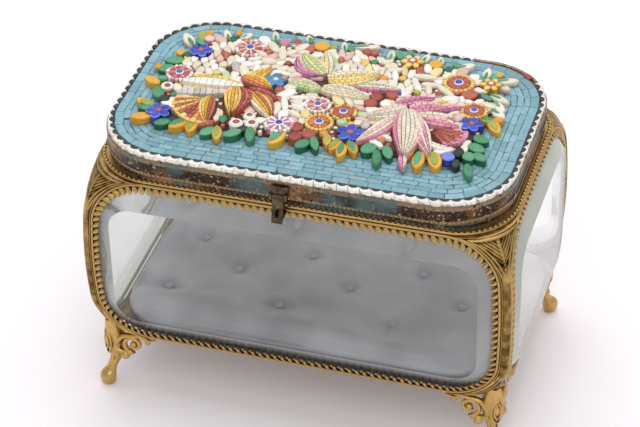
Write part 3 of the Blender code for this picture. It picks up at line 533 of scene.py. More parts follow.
grout, grout_tree, grout_shader = new_finish("grey_grout", 0.75)
grout_spot = spread(grout_tree, noise(grout_tree, 2.2, detail=4.0), 0.42, 0.6)
grout_colour = blend_colours(grout_tree, grout_spot, "#2f4347", "#6f8f97")
grout_tree.links.new(grout_colour, grout_shader.inputs["Base Color"])


# %% Rows of sky blue


def field_walk(inset, steps):
    """The outline of the blue field, drawn in by inset."""
    return walk(FIELD_HALF_W - inset, FIELD_HALF_D - inset, FIELD_R - inset, steps)


def row_of_chips(inset, wide, long):
    """Outlines of one row: each piece takes an even share of the walk, less the joint.

    Its corners are the two ends of its share, moved in and out along the normals by half its width.
    """
    _, _, whole = field_walk(inset, 8)
    count = round(whole / long)
    steps = 8 * count
    place, normal, _ = field_walk(inset, steps)
    near, far = np.arange(count) * 8, (np.arange(count) * 8 + 8) % steps
    ahead = np.roll(place, -1, 0) - place
    ahead /= np.linalg.norm(ahead, axis=1, keepdims=True)
    shift = rng.uniform(-0.12, 0.12, count) * long
    first = place[near] + ahead[near] * (JOINT / 2 + shift)[:, None]
    last = place[far] - ahead[far] * (JOINT / 2 - np.roll(shift, -1))[:, None]
    near_out, far_out = normal[near] * (wide - JOINT) / 2, normal[far] * (wide - JOINT) / 2
    return np.stack([first - near_out, last - far_out, last + far_out, first + near_out], 1)


def blue_ground():
    """A bed of grout, and on it rows of chips, each row one width further in than the last."""
    heap = Heap()
    place, _, _ = field_walk(0.3, 160)
    slab(heap, place, BED_LOW, FIELD_Z - 0.12, finish=1)
    inset = 0.45
    for row in range(ROWS + 1):
        wide, long = (FIRST_ROW, FIRST_LONG) if row == 0 else (ROW_PITCH, ROW_LONG)
        outlines = row_of_chips(inset + wide / 2, wide, long)
        outlines = outlines + rng.normal(0, 0.05, outlines.shape)
        tops = FIELD_Z + rng.normal(0, 0.04, len(outlines))
        chips(heap, outlines, FIELD_Z - 0.9, tops, 0, bevel=0.1, crown=0.03, lean=0.05)
        inset += wide
    heap.make("blue_ground", [sky, grout], "lid", ["mosaic_field"], "sky_tesserae", sharp=25.0)


blue_ground()

# %% [markdown]
# ## The border
# A band of white tesserae runs round the shoulder of the lid and slopes down to the brass. The inner
# side of each is hollow, and a dark lens of navy glass fills the hollow. Along the back, right of
# the middle, a stretch has been lost, and only rust-red mastic and one red block are left. Nothing
# lost is put back.

# %% Border
PITCH = 3.9
PARTS = 6
HOLLOW = 1.15
SHOULDER_Z = 102.35
LOST_FROM, LOST_TO, LOST_BEHIND = 41.0, 63.0, 20.0
RED_BLOCK = (60.3, 35.0, 3.6, 2.4, -38.0)

navy = smalti("navy_smalti", "#151a22", "#2c3540", 102.0)
edge_white = smalti("edge_white_smalti", "#ddd3c6", "#f4efe8", 102.6)
rust_mastic = mottled("rust_red_mastic", 0.75, 1.5, "#4a302a", "#96504a", pits=(0.8, 0.3))


def border_blocks(count):
    """Rings of the white blocks, and the outlines of the lenses, all but the lost ones.

    For a share s of one pitch the hollow side lies HOLLOW sin(pi s)^0.8 mm outside the field. A block
    is a loft of four outlines: its foot, the upper edges of its two sides, the same drawn in a
    little, and a narrow ridge along its face.
    """
    share = np.arange(PARTS + 1) / PARTS
    index = (np.arange(count)[:, None] * PARTS + np.arange(PARTS + 1)[None]) % (count * PARTS)
    rim, rim_out, _ = lid_walk(0.25, count * PARTS)
    field, field_out, _ = field_walk(0.0, count * PARTS)
    low, out, top, top_out = rim[index], rim_out[index], field[index], field_out[index]
    arch = HOLLOW * np.sin(np.pi * share) ** 0.8
    joint = (share - 0.5)[None, :, None] * (top[:, -1:] - top[:, :1]) * (JOINT / PITCH)
    hollow = top + top_out * arch[None, :, None] - joint
    outer = low - joint
    ridge = hollow * 0.35 + outer * 0.65
    rise = FIELD_Z + 0.1 + rng.normal(0, 0.05, count)
    flat = np.zeros(count)
    levels = (
        (outer, hollow, flat + 101.0, flat + 101.0),
        (outer, hollow, flat + SHOULDER_Z - 0.3, rise - 0.1),
        (outer - out * 0.15, hollow + out * 0.05, flat + SHOULDER_Z, rise),
        (ridge, hollow * 0.9 + ridge * 0.1, rise - 0.06, rise + 0.03),
    )
    rings = []
    for near, far, z_near, z_far in levels:
        outline = np.concatenate([near, far[:, ::-1]], 1)
        z = np.repeat(np.stack([z_near, z_far], 1), PARTS + 1, axis=1)
        rings.append(np.concatenate([outline, z[..., None]], -1))
    bay = slice(1, PARTS)
    lenses = np.concatenate([hollow[:, bay], (top - top_out * 0.45)[:, bay][:, ::-1]], 1)
    x, y = top[:, PARTS // 2].T
    kept = (x <= LOST_FROM) | (x >= LOST_TO) | (y <= LOST_BEHIND)
    return np.stack(rings, 1)[kept], lenses[kept]


def border():
    """White blocks, navy lenses in their hollows, a bed of mastic, and the one red block."""
    heap = Heap()
    _, _, whole = lid_walk(0.0, 8)
    blocks, lenses = border_blocks(round(whole / PITCH))
    heap.stack(blocks)
    chips(heap, lenses, 99.0, FIELD_Z + 0.1, 1, bevel=0.05, crown=0.02, lean=0.04)
    place, normal, _ = field_walk(0.35, 420)
    profile = [(0.0, BED_LOW), (0.0, FIELD_Z - 0.35), (1.0, FIELD_Z - 0.6), (1.25, 102.0), (1.25, BED_LOW)]
    sweep(heap, place, normal, profile[::-1], finish=2)
    red = lay(oval(8, 0.3, 0.3), *RED_BLOCK)
    chips(heap, red, 100.5, 103.6, 3, bevel=0.2)
    finishes = [edge_white, navy, rust_mastic, SMALTI["red"]]
    heap.make("mosaic_edge", finishes, "lid", ["mosaic_border"], "cream_tesserae", sharp=34.0)


border()

# %% [markdown]
# ## The lid's brass tray
# The mosaic sits in a shallow tray. Its upright band has gone brown and nearly black, with green
# spots of verdigris and coppery patches where fingers rubbed it, and along its lower edge runs a row
# of small beads that has kept more of its gilding. One recipe makes every brass of the box: how far
# a point stands out decides between hollow, middle and rubbed colour, a broad noise lays coppery
# patches over it, a finer one light and dark specks, and a third the green. The beads are little
# balls, one for each millimetre and a half.

# %% Tarnished brass and gilding
COPPER, SPECK, PIT, VERDIGRIS = "#96724f", "#bb9c72", "#1f1814", "#56706d"


def brass(name, shades, roughness, copper=0.0, verdigris=0.0, shine=0.0, depth=3.2, pits=0.05):
    """Old brass, a metal: dark in its hollows, from tarnish and from painted shade in crevices, bright
    where it stands proud and hands rub it.

    worn = depth * proud + blotch + shine runs through the three shades. copper and verdigris move
    the bounds of their patches, so that more of them shows. pits is the depth of the bump in mm.
    """
    made, tree, shader = new_finish(name, roughness, metallic=1.0)
    dark, middle, bright = shades
    proud = add(tree, "Attribute", attribute_name="proud").outputs["Fac"]
    blotch = noise(tree, 3.0, detail=5.0)
    worn = add(tree, "Math", operation="MULTIPLY_ADD", inputs=[(0, proud), (1, depth), (2, blotch)])
    worn = add(tree, "Math", operation="ADD", inputs=[(0, worn.outputs[0]), (1, shine)]).outputs[0]
    colour = blend_colours(tree, spread(tree, worn, 0.22, 0.5), dark, middle)
    colour = blend_colours(tree, spread(tree, worn, 0.5, 0.8), colour, bright)
    if copper:
        patch = spread(tree, noise(tree, 24.0, detail=2.0), 0.6 - copper, 0.76 - copper)
        colour = blend_colours(tree, patch, colour, COPPER)
        spot = noise(tree, 1.3, detail=2.0)
        colour = blend_colours(tree, spread(tree, spot, 0.6, 0.7), colour, SPECK)
        colour = blend_colours(tree, spread(tree, spot, 0.42, 0.33), colour, PIT)
    if verdigris:
        patch = spread(tree, noise(tree, 15.0, detail=5.0), 0.64 - verdigris, 0.8 - verdigris, 0.0, 0.8)
        colour = blend_colours(tree, patch, colour, VERDIGRIS)
    tree.links.new(colour, shader.inputs["Base Color"])
    rough = spread(tree, blotch, 0.3, 0.7, roughness - 0.08, roughness + 0.12)
    tree.links.new(rough, shader.inputs["Roughness"])
    bump(tree, shader, noise(tree, 0.7 + 4 * pits, detail=4.0), pits, 0.6)
    return made


# Stamped sheet keeps thin gilding; castings are rougher and deeper; the band has lost all its gold.
gilt = brass("gilt_stamped_brass", ("#261707", "#74582a", "#bd9d63"), 0.36, depth=4.0)
cast = brass("gilt_cast_brass", ("#241505", "#7d5d2c", "#c8a564"), 0.3, shine=-0.08, depth=7.0, pits=0.25)
band_shades = ("#40342b", "#62564b", "#8a7a62")
band_brass = brass("tarnished_band_brass", band_shades, 0.46, copper=0.14, verdigris=0.16)
bead_brass = brass("rubbed_bead_brass", ("#2a1c14", "#7d5a3c", "#c89a62"), 0.36)
sheet_brass = brass("dulled_sheet_brass", ("#4a3a24", "#7d6743", "#a08657"), 0.42)

# %% Tray
# Section of the tray's wall as (outward, z): up the inside, over the lip, down past the moulding
TRAY_SECTION = (
    *((-0.95, 96.2), (-0.95, 101.9), (-0.5, 102.1), (-0.1, 102.1), (0.0, 101.9), (0.02, 100.6)),
    *((-0.1, 100.2), (-0.14, 97.0), (0.12, 96.7), (0.16, 96.3), (-0.05, 96.05), (-0.2, 95.9)),
    *((-0.1, 95.55), (-0.2, 95.4), (-0.95, 95.4)),
)
TRAY_BEAD_PITCH, TRAY_BEAD_Z, TRAY_BEAD_R = 1.45, 95.85, 0.4


def ball(heap, centres, radius, finish=0, sides=8, rows=5, squash=(1.0, 1.0, 1.0)):
    """Small balls: rings of a sphere, latitude from -80 to 80 degrees, around each centre."""
    centres = np.atleast_2d(centres)
    radius = np.broadcast_to(radius, (len(centres),))
    latitude = np.radians(np.linspace(-80, 80, rows))[:, None]
    turn = np.arange(sides) * 2 * np.pi / sides
    level = np.cos(latitude)
    unit = np.stack([level * np.cos(turn), level * np.sin(turn), np.sin(latitude) + 0 * turn], -1)
    unit = unit * np.asarray(squash)
    heap.stack(centres[:, None, None] + unit[None] * radius[:, None, None, None], finish)


def lid_tray():
    """The section carried round the lid, a floor sheet inside it, and beads under the moulding."""
    heap = Heap()
    place, normal, whole = lid_walk(0.0, 400)
    sweep(heap, place, normal, TRAY_SECTION)
    floor_place, _, _ = lid_walk(0.93, 200)
    slab(heap, floor_place, 95.42, 96.3, finish=2, soften=0.05)
    count = round(whole / TRAY_BEAD_PITCH)
    bead_place, _, _ = lid_walk(0.28, count)
    ball(heap, np.column_stack([bead_place, np.full(count, TRAY_BEAD_Z)]), TRAY_BEAD_R, finish=1)
    finishes = [band_brass, bead_brass, sheet_brass]
    heap.make("lid_tray_band", finishes, "lid", ["lid_tray"], "tarnished_brass", wear=6)


lid_tray()

# %% [markdown]
# ## Flowers and leaves
# The bouquet is built up on a mound of mastic. Around its edge stand leaves cut from two-coloured
# rods: green on top, amber or dark green down their sides. Daisies are rings of thin wedges, and the
# little blue flowers have five round petals. All stand three millimetres proud of the ground. Where
# each one stands is a table that was measured, because no rule gives a craftsman's bouquet.

# %% Mound and leaves
MOUND_TOP = 104.2
LEAF_LOW = FIELD_Z - 0.3
LEAF_SHAPE = oval(16, 1.4, 1.15)

# Leaves as (x, y, length, width, heading, top, side), or one colour where both are alike
LEAVES = (
    (-57.0, -23.9, 7.6, 4.2, 205, "amber"), (-49.2, -25.2, 6.2, 3.8, 215, "green", "deep"),
    (-46.3, -22.4, 4.6, 3.2, 200, "black"), (-43.9, -25.0, 7.4, 4.6, 230, "green", "amber"),
    (-39.4, -24.6, 7.8, 4.4, 282, "olive", "amber"), (-33.2, -26.2, 6.6, 4.2, 240, "green", "deep"),
    (-29.8, -26.4, 8.2, 3.4, 285, "olive", "gold"), (-30.3, -18.8, 4.8, 2.6, 285, "green", "deep"),
    (-24.8, -25.6, 6.6, 4.2, 225, "green", "deep"), (-22.4, -22.2, 4.2, 3.0, 200, "black"),
    (-19.0, -24.8, 8.0, 3.4, 285, "green"), (-10.0, -24.2, 8.4, 4.8, 250, "green", "amber"),
    (-1.0, -25.0, 6.6, 4.2, 245, "green", "deep"), (2.8, -24.0, 8.2, 3.0, 295, "green", "deep"),
    (6.2, -21.0, 7.0, 3.0, 285, "olive", "gold"), (9.4, -22.6, 6.8, 3.8, 255, "olive", "amber"),
    (12.3, -25.2, 8.2, 3.6, 275, "green", "amber"), (15.2, -22.4, 9.0, 3.6, 300, "green", "amber"),
    (20.6, -22.2, 6.2, 5.0, 240, "green", "deep"), (24.4, -26.0, 8.6, 3.2, 285, "green"),
    (27.0, -22.2, 8.0, 3.6, 295, "green", "deep"), (33.7, -19.0, 7.4, 2.8, 285, "olive", "amber"),
    (37.8, -24.2, 9.2, 4.2, 275, "green", "amber"), (43.0, -22.8, 8.8, 4.6, 290, "olive", "amber"),
    (49.3, -16.6, 5.6, 3.4, 275, "black"), (49.8, -22.6, 5.0, 3.0, 280, "black"),
    (50.6, -7.2, 4.8, 3.0, 270, "black"), (54.3, -7.0, 6.2, 4.6, 340, "green", "deep"),
    (54.2, -12.6, 6.6, 4.2, 335, "green", "deep"), (56.4, -17.2, 6.2, 3.8, 325, "green", "deep"),
    (52.8, -17.6, 5.4, 4.4, 300, "green", "deep"), (54.6, -25.2, 7.8, 3.2, 290, "green"),
    (53.2, 4.2, 6.2, 3.4, 350, "green", "olive"), (56.6, 1.6, 8.6, 4.0, 305, "olive", "amber"),
    (57.2, 5.0, 4.0, 3.2, 20, "amber"), (-57.2, 16.2, 4.0, 3.4, 175, "amber"),
    (-54.8, 15.4, 4.4, 3.4, 160, "deep"), (-57.6, 11.0, 7.2, 4.2, 195, "green", "deep"),
    (-58.8, 5.6, 6.0, 4.6, 200, "green", "deep"), (-61.8, 5.9, 2.8, 2.6, 170, "amber"),
    (-60.8, -2.8, 6.8, 3.8, 155, "amber"), (-57.8, -0.6, 4.6, 3.0, 180, "green"),
    (-56.6, -8.8, 7.0, 4.2, 120, "green"), (-53.4, -12.2, 4.6, 3.6, 110, "black"),
    (-50.6, -8.4, 4.2, 3.0, 60, "green", "deep"), (-60.2, -14.8, 3.6, 3.6, 170, "amber"),
    (-57.8, -16.0, 5.6, 3.6, 160, "olive", "green"), (-57.2, -19.0, 5.4, 3.2, 190, "green", "deep"),
    (-53.6, 28.6, 6.4, 3.6, 110, "olive", "green"), (-51.9, 30.2, 4.6, 2.6, 95, "amber"),
    (-52.6, 24.4, 4.8, 3.0, 130, "green", "deep"), (-42.4, 28.4, 5.4, 3.6, 95, "deep"),
    (-42.0, 33.4, 4.2, 1.8, 100, "amber"), (-28.2, 32.2, 3.4, 2.0, 95, "green"),
    (-16.4, 35.0, 3.6, 2.0, 110, "green"), (-7.6, 33.0, 5.0, 2.6, 280, "olive", "green"),
    (-1.6, 33.6, 5.4, 2.4, 120, "green"), (15.6, 34.2, 5.8, 2.6, 115, "green"),
    (18.8, 36.0, 5.0, 2.2, 85, "green"), (24.9, 31.2, 3.4, 2.2, 60, "green"),
    (34.0, 29.8, 4.8, 3.0, 100, "deep"), (35.6, 33.6, 5.0, 2.4, 110, "green"),
    (46.8, 27.6, 3.6, 3.2, 90, "green"), (50.3, 28.2, 4.4, 2.6, 100, "green", "deep"),
    (51.2, 31.5, 3.0, 2.4, 60, "amber"), (50.2, 17.0, 5.2, 2.6, 330, "green"),
    (53.2, 13.4, 4.0, 2.0, 330, "mint", "green"),
)

# Pale leaves with a green root, as (x, y, length, width, heading)
PALE_LEAVES = (
    (-57.4, 24.8, 8.4, 3.8, 130), (-45.2, 30.6, 7.6, 2.8, 118),
    (-38.9, 32.0, 6.0, 3.0, 62), (-29.0, 34.4, 6.6, 2.6, 110),
    (-17.2, 36.0, 5.0, 2.6, 118), (-4.2, 34.6, 6.0, 2.4, 112),
    (3.4, 36.4, 9.6, 2.6, 16), (12.8, 33.6, 6.2, 3.0, 95),
    (24.6, 34.6, 6.4, 2.8, 80), (30.0, 34.6, 5.6, 2.4, 100),
    (38.8, 33.2, 7.2, 3.2, 30), (47.0, 31.0, 6.6, 3.0, 88),
    (54.8, 28.6, 7.6, 3.4, 15), (54.4, 24.6, 5.6, 3.0, 330),
    (54.6, 17.4, 7.6, 3.2, 340), (55.6, 12.6, 6.8, 3.4, 310),
    (56.4, 8.6, 5.8, 3.2, 330),
)


def leaf_tops(y):
    """Leaves stand highest in the middle of the bouquet and a little lower to the back."""
    return 105.7 - 0.012 * np.clip(np.asarray(y) + 26.0, 0, 60)


def leaves():
    """A leaf of one rod, or of two: then a lens of the second colour lies in its top, off the middle."""
    heap = Heap()
    place, _, _ = walk(54.5, 25.5, 19.0, 140)
    slab(heap, place + np.array([-1.0, 3.6]), LEAF_LOW, MOUND_TOP, finish=len(PALETTE), soften=0.8)
    for x, y, length, width, heading, *words in LEAVES:
        top, side = words[0], words[-1]
        height = leaf_tops(y) + rng.uniform(-0.25, 0.25)
        outline = lay(LEAF_SHAPE, x, y, length, width, heading)
        two = side in ("amber", "gold", "olive") and top != side
        face = side if two else top
        chips(heap, outline, LEAF_LOW, height, shade(face), side=shade(side), bevel=0.3, lean=0.2)
        if two:
            outline = lay(LEAF_SHAPE, x - 0.1 * width, y + 0.1 * width, length * 0.86, width * 0.6, heading)
            chips(heap, outline, height - 0.6, height + 0.24, shade(top), bevel=0.16, crown=0.05)
    for x, y, length, width, heading in PALE_LEAVES:
        outline = lay(LEAF_SHAPE, x, y, length, width, heading)
        chips(heap, outline, LEAF_LOW, leaf_tops(y), shade("cream"), bevel=0.4, lean=0.25)
        turn = math.radians(heading)
        root = (x - 0.22 * length * math.cos(turn), y - 0.22 * length * math.sin(turn))
        rib = lay(LEAF_SHAPE, *root, length * 0.62, width * 0.42, heading)
        chips(heap, rib, 105.0, leaf_tops(y) + 0.3, shade("green"), bevel=0.2)
    heap.make("leaf_garland", FINISHES + [mastic], "lid", ["leaf_ground"], "leaf_tesserae")


leaves()

# %% Daisies and small flowers
FLOWER_LOW = FIELD_Z - 0.3
FLOWER_TOP = 106.5
FLUTES, FLUTE_SHARE = 19, 0.93


def flutes(centre, near, far, blunt):
    """Outlines of a ring of wedges with round ends, each taking FLUTE_SHARE of its angle."""
    middle = (np.arange(FLUTES) + 0.5) * 2 * np.pi / FLUTES
    half = np.pi / FLUTES * FLUTE_SHARE
    across = np.array([-1.0, -0.96, -0.6, 0.0, 0.6, 0.96, 1.0, 0.0])
    reach = np.array([near, far - blunt, far - 0.1, far, far - 0.1, far - blunt, near, near])
    angle = middle[:, None] + half * across[None]
    return np.stack([centre[0] + reach * np.cos(angle), centre[1] + reach * np.sin(angle)], -1)


def daisy(name, x, y, radius, body, tips):
    """Nineteen flutes round a heart: each is a wedge with a short round tip of another colour."""
    heap = Heap()
    heart = radius * 0.25
    bands = ((0.3, 0.74, body, 0.05, 0.0), (0.75, 1.0, tips, radius * 0.1, 0.12))
    for near, far, words, blunt, drop in bands:
        ring = flutes((x, y), radius * near, radius * far, blunt)
        for k, word in enumerate(words):
            part = ring[k :: len(words)]
            chips(heap, part, FLOWER_LOW, FLOWER_TOP - drop, shade(word), bevel=0.14, crown=0.06)
    collar = lay(oval(14), x, y, 2.5 * heart, 2.5 * heart, 0)
    chips(heap, collar, FLOWER_TOP - 1.5, FLOWER_TOP + 0.15, shade("white"), bevel=0.2)
    dome(heap, x, y, heart, FLOWER_TOP + 0.1, shade("blue"), 0.35)
    heap.make(name + "_petals", FINISHES, "lid", [name])


def dome(heap, x, y, radius, base, finish, rise=0.45):
    """A low dome: rings shrink as the cosine and rise as the sine of a quarter turn."""
    turn = np.arange(12) * 2 * np.pi / 12
    lift = np.radians([[0], [30], [60], [82]])
    reach, z = radius * np.cos(lift), base + rise * np.sin(lift)
    rings = np.stack([x + reach * np.cos(turn), y + reach * np.sin(turn), z + 0 * turn], -1)
    foot = rings[:1] - np.array([0, 0, 1.0])
    heap.stack(np.concatenate([foot, rings])[None], finish)


DAISIES = (
    ("daisy_left", -53.0, 2.7, 4.8, ("rust", "pink", "rust"), ("white", "pink", "blush")),
    ("daisy_back", -34.5, 23.2, 5.3, ("rust", "blush"), ("pink", "white", "blush")),
    ("daisy_front", -11.4, -17.1, 5.1, ("mauve", "white"), ("pink", "white", "white")),
    ("daisy_middle", -2.2, -3.5, 4.6, ("pink", "blush", "rust"), ("white", "blush")),
    ("daisy_rust_middle", 7.2, -5.3, 4.6, ("rust",), ("lemon", "gold", "rust")),
    ("daisy_rust_front", 1.1, -13.0, 4.9, ("rust", "orange"), ("lemon", "gold", "lemon")),
    ("daisy_rust_right", 48.6, 6.6, 4.6, ("rust",), ("lemon", "gold", "orange")),
    ("daisy_rust_back", 39.7, 21.1, 5.4, ("rust",), ("lemon", "gold")),
)
for row in DAISIES:
    daisy(*row)


def five_petals(name, x, y, radius, colour, rim, turn, heart):
    """Five round petals, each with a lighter rim, and a small heart."""
    heap = Heap()
    angle = np.radians(turn + 72 * np.arange(5))
    px, py = x + 0.56 * radius * np.cos(angle), y + 0.56 * radius * np.sin(angle)
    petals = lay(oval(12, 0.85, 0.9), px, py, radius * 0.88, radius * 0.72, np.degrees(angle))
    chips(heap, petals, FLOWER_LOW, FLOWER_TOP, shade(colour), edge=shade(rim), bevel=0.3, crown=-0.05)
    dome(heap, x, y, radius * 0.24, FLOWER_TOP, shade(heart))
    heap.make(name + "_petals", FINISHES, "lid", [name])


BLUE_FLOWERS = (
    ("flower_blue_left", -52.2, -20.6, 4.4, "blue", "pale_blue", 50, "rust"),
    ("flower_blue_back", -50.4, 17.4, 4.0, "blue", "pale_blue", 10, "rust"),
    ("flower_blue_front", 12.6, -16.0, 4.7, "blue", "pale_blue", 95, "rust"),
    ("flower_blue_right", 49.7, -1.1, 4.0, "blue", "pale_blue", 85, "rust"),
    ("flower_blue_middle", -20.1, 6.9, 4.0, "teal", "pale_blue", 30, "cream"),
)
for row in BLUE_FLOWERS:
    five_petals(*row)

WHITE_DROPS = ((-25.4, -20.0, 4.8), (-20.3, -19.0, 4.8), (-22.4, -15.0, 4.2))


def white_cluster():
    """Three round white drops with a red eye."""
    heap = Heap()
    for x, y, size in WHITE_DROPS:
        drop = lay(oval(14), x, y, size, size, 0)
        chips(heap, drop, FLOWER_LOW, 106.2, shade("white"), bevel=0.5, crown=0.0)
        dome(heap, x + 0.1, y + 0.1, size * 0.27, 106.15, shade("red"), 0.3)
    heap.make("flower_white_left_drops", FINISHES, "lid", ["flower_white_left"], "cream_tesserae")


white_cluster()

# %% [markdown]
# ## Birds of rods
# The three birds are the boldest shapes: wings and bodies laid from thin rods of glass side by side,
# broken into short bricks, with dark seams between them. One function lays bricks over any patch,
# if it is given the patch as a function of two shares: s along the rods and t across them. A wing
# swells and closes as a sine, and a tail opens like a fan. Their joints are staggered, as in a wall.

# %% Birds
WING_LOW = 104.0
ROD_PITCH, FAN_PITCH = 2.3, 2.9
BIRD_MOVE = np.array([0.5, -1.6])
# How far the four corners of a brick are drawn in, along and across
SEAM = 0.08 * np.array([[1, 1], [-1, 1], [-1, -1], [1, -1]])
DROOP = 0.25
HIGHEST = 107.25


def bricks(heap, place, colours, long, top, tips=None, hump=0.35, pitch=ROD_PITCH):
    """Bricks over place(s, t), s from 0 to 1 along and t from -1 to 1 across, one row for each colour.

    Each brick is drawn in by the seam on all sides: its corners move along its two edges. Its height
    is top + hump sin(pi s) - DROOP |t|, so a wing is arched both ways.
    """
    edges = np.linspace(-1, 1, len(colours) + 1)
    count = max(2, round(long / pitch))
    for k, word in enumerate(colours):
        cuts = np.clip(np.concatenate([[0.0], (np.arange(count + 1) + 0.5 * (k % 2)) / count]), 0, 1)
        cuts = np.unique(cuts)
        cuts[1:-1] += rng.uniform(-0.15, 0.15, len(cuts) - 2) / count
        s = np.stack([cuts[:-1], cuts[1:], cuts[1:], cuts[:-1]], -1)
        t = np.broadcast_to(edges[[k, k, k + 1, k + 1]], s.shape)
        flat = place(s, t)
        ahead = flat[:, [1, 1, 2, 2]] - flat[:, [0, 0, 3, 3]]
        aside = flat[:, [3, 2, 2, 3]] - flat[:, [0, 1, 1, 0]]
        long_side = np.linalg.norm(ahead, axis=2, keepdims=True)
        wide_side = np.linalg.norm(aside, axis=2, keepdims=True)
        flat = flat + ahead / np.maximum(long_side, 0.01) * SEAM[:, :1]
        flat = flat + aside / np.maximum(wide_side, 0.01) * SEAM[:, 1:]
        keep = (long_side.min((1, 2)) > 0.4) & (wide_side.max((1, 2)) > 0.45)
        z = top + hump * np.sin(np.pi * s.mean(1)) - DROOP * abs(edges[k] + edges[k + 1]) / 2
        z = np.minimum(z, HIGHEST)
        words = [word] * len(flat)
        if tips:
            words[-1] = tips
        for one in dict.fromkeys(words):
            mine = keep & (np.array(words) == one)
            chips(heap, flat[mine], WING_LOW, z[mine], shade(one), bevel=0.13, crown=0.06, lean=0.05)


def wing(heap, root, tip, width, colours, bow, top=106.9, waist=0.75):
    """place = root + s (tip - root) + side (bow 4 s (1 - s) + t width / 2 sin(pi s^waist)^0.7)."""
    root, tip = np.array(root) + BIRD_MOVE, np.array(tip) + BIRD_MOVE
    along = tip - root
    long = np.linalg.norm(along)
    side = np.array([-along[1], along[0]]) / long

    def place(s, t):
        s = 0.05 + 0.92 * s
        out = bow * 4 * s * (1 - s) + t * width / 2 * np.sin(np.pi * s**waist) ** 0.7
        return root + s[..., None] * along + out[..., None] * side

    bricks(heap, place, colours, long, top)


def fan(heap, pivot, start, end, near, far, colours, top, tips):
    """Rods spread between two headings in degrees; far is their length at even shares of the turn."""
    pivot = np.array(pivot) + BIRD_MOVE

    def place(s, t):
        share = (t + 1) / 2
        turn = np.radians(start + (end - start) * share)
        reach = near + s * (np.interp(share, np.linspace(0, 1, len(far)), far) - near)
        return pivot + np.stack([reach * np.cos(turn), reach * np.sin(turn)], -1)

    bricks(heap, place, colours, max(far) - near, top, tips, hump=0.1, pitch=FAN_PITCH)


def rope(heap, points, width, pitch, colours, top):
    """Short blocks across a bent line: each spans the width, and they follow one another."""
    points = np.array(points) + BIRD_MOVE
    gaps = np.linalg.norm(np.diff(points, axis=0), axis=1)
    along = np.concatenate([[0], np.cumsum(gaps)])
    count = max(2, round(along[-1] / pitch))
    where = along[-1] * (np.arange(count) + 0.5) / count
    x, y = np.interp(where, along, points[:, 0]), np.interp(where, along, points[:, 1])
    ahead = np.stack([np.gradient(x), np.gradient(y)], -1)
    heading = np.degrees(np.arctan2(ahead[:, 1], ahead[:, 0]))
    size = width * (0.72 + 0.28 * np.sin(np.pi * (np.arange(count) + 0.5) / count))
    blocks = lay(oval(10, 0.35, 0.35), x, y, pitch * 0.92, size, heading)
    for k, word in enumerate(colours):
        part = blocks[k :: len(colours)]
        chips(heap, part, WING_LOW, top, shade(word), bevel=0.3, crown=0.2, lean=0.12)


# %% Three birds


def bird_left():
    """The orange one: two pale wings behind, a fanned tail, and folded wings in gold and rust."""
    heap = Heap()
    wing(heap, (-49.0, 3.4), (-31.0, 3.2), 2.6, ("gold",), 0.5, 106.5)
    wing(heap, (-51.8, -0.6), (-29.0, 1.4), 4.2, ("white",), 0.2, 107.0, 0.9)
    wing(heap, (-51.4, -7.6), (-34.4, -4.2), 4.0, ("grey",), 0.4, 106.9, 0.9)
    wing(heap, (-49.0, -4.0), (-34.8, -2.4), 1.9, ("straw",), 0.0, 106.2)
    reach = (11.4, 12.8, 13.8, 14.4, 14.8, 14.8)
    colours = ("lemon", "rust", "lemon", "rust", "gold", "rust", "red", "rust", "orange", "rust", "red")
    fan(heap, (-38.6, -7.6), 186, 288, 1.5, reach, colours, 106.5, "lemon")
    wing(heap, (-38.6, -6.2), (-35.0, -21.8), 5.6, ("lemon", "gold", "amber", "rust", "rust"), -0.8)
    broad = ("lemon", "gold", "amber", "gold", "gold", "red", "rust", "red")
    wing(heap, (-31.8, 1.0), (-28.6, -15.2), 9.6, broad, 1.2, 107.1)
    slender = ("cream", "gold", "amber", "rust", "gold", "rust")
    wing(heap, (-26.4, -0.4), (-15.4, -13.2), 7.2, slender, 0.9, 106.7)
    wing(heap, (-32.5, 7.4), (-19.8, 2.0), 6.2, ("rust", "orange", "amber", "gold"), 0.6, 107.0)
    wing(heap, (-28.4, 1.2), (-15.8, -3.2), 4.2, ("rust", "red", "rust"), 0.4, 106.5)
    wing(heap, (-31.6, 5.0), (-24.0, 15.4), 5.4, ("gold", "amber", "gold", "straw"), -0.8, 106.8)
    wing(heap, (-37.4, -23.6), (-31.2, -19.0), 2.2, ("rust", "rust"), 0, 106.2)
    heap.make("bird_left_feathers", FINISHES, "lid", ["bird_left"], "orange_tesserae")


def bird_back():
    """The pale one behind: a bent mauve neck, raised wings in straw and mint, a long tail."""
    heap = Heap()
    wing(heap, (-17.6, 24.4), (-4.2, 14.6), 3.8, ("mauve", "pink", "pink"), -4.6, 107.0, waist=0.9)
    wing(heap, (-5.2, 14.8), (-16.6, 26.2), 8.2, ("straw", "mint", "straw", "mint", "cream"), 0.8, 106.9)
    wing(heap, (-4.4, 15.6), (-9.2, 29.4), 6.8, ("mint", "cream", "straw", "blush"), -0.6, 106.7)
    broad = ("straw", "lemon", "straw", "lemon", "cream", "cream")
    wing(heap, (-4.6, 12.6), (13.2, 20.6), 9.6, broad, -0.8, 107.1)
    rope(heap, [(-3.6, 20.4), (1.4, 20.8), (6.4, 23.2)], 4.2, 2.6, ("grey", "white", "cream"), 107.0)
    wing(heap, (11.2, 12.6), (12.4, 26.0), 3.0, ("blush", "cream"), 1.0, 106.4)
    wing(heap, (-16.4, 9.2), (-3.4, 6.6), 5.6, ("mint", "straw", "mint", "blush"), 0.4, 106.6)
    wing(heap, (-5.0, 7.6), (13.4, 5.6), 6.4, ("cream", "straw", "cream", "grey", "cream"), 0.6, 106.9)
    wing(heap, (5.4, 12.0), (22.4, 13.4), 5.2, ("pink", "cream", "mint", "cream"), 0.8, 106.5)
    heap.make("bird_back_feathers", FINISHES, "lid", ["bird_back"], "straw_tesserae")


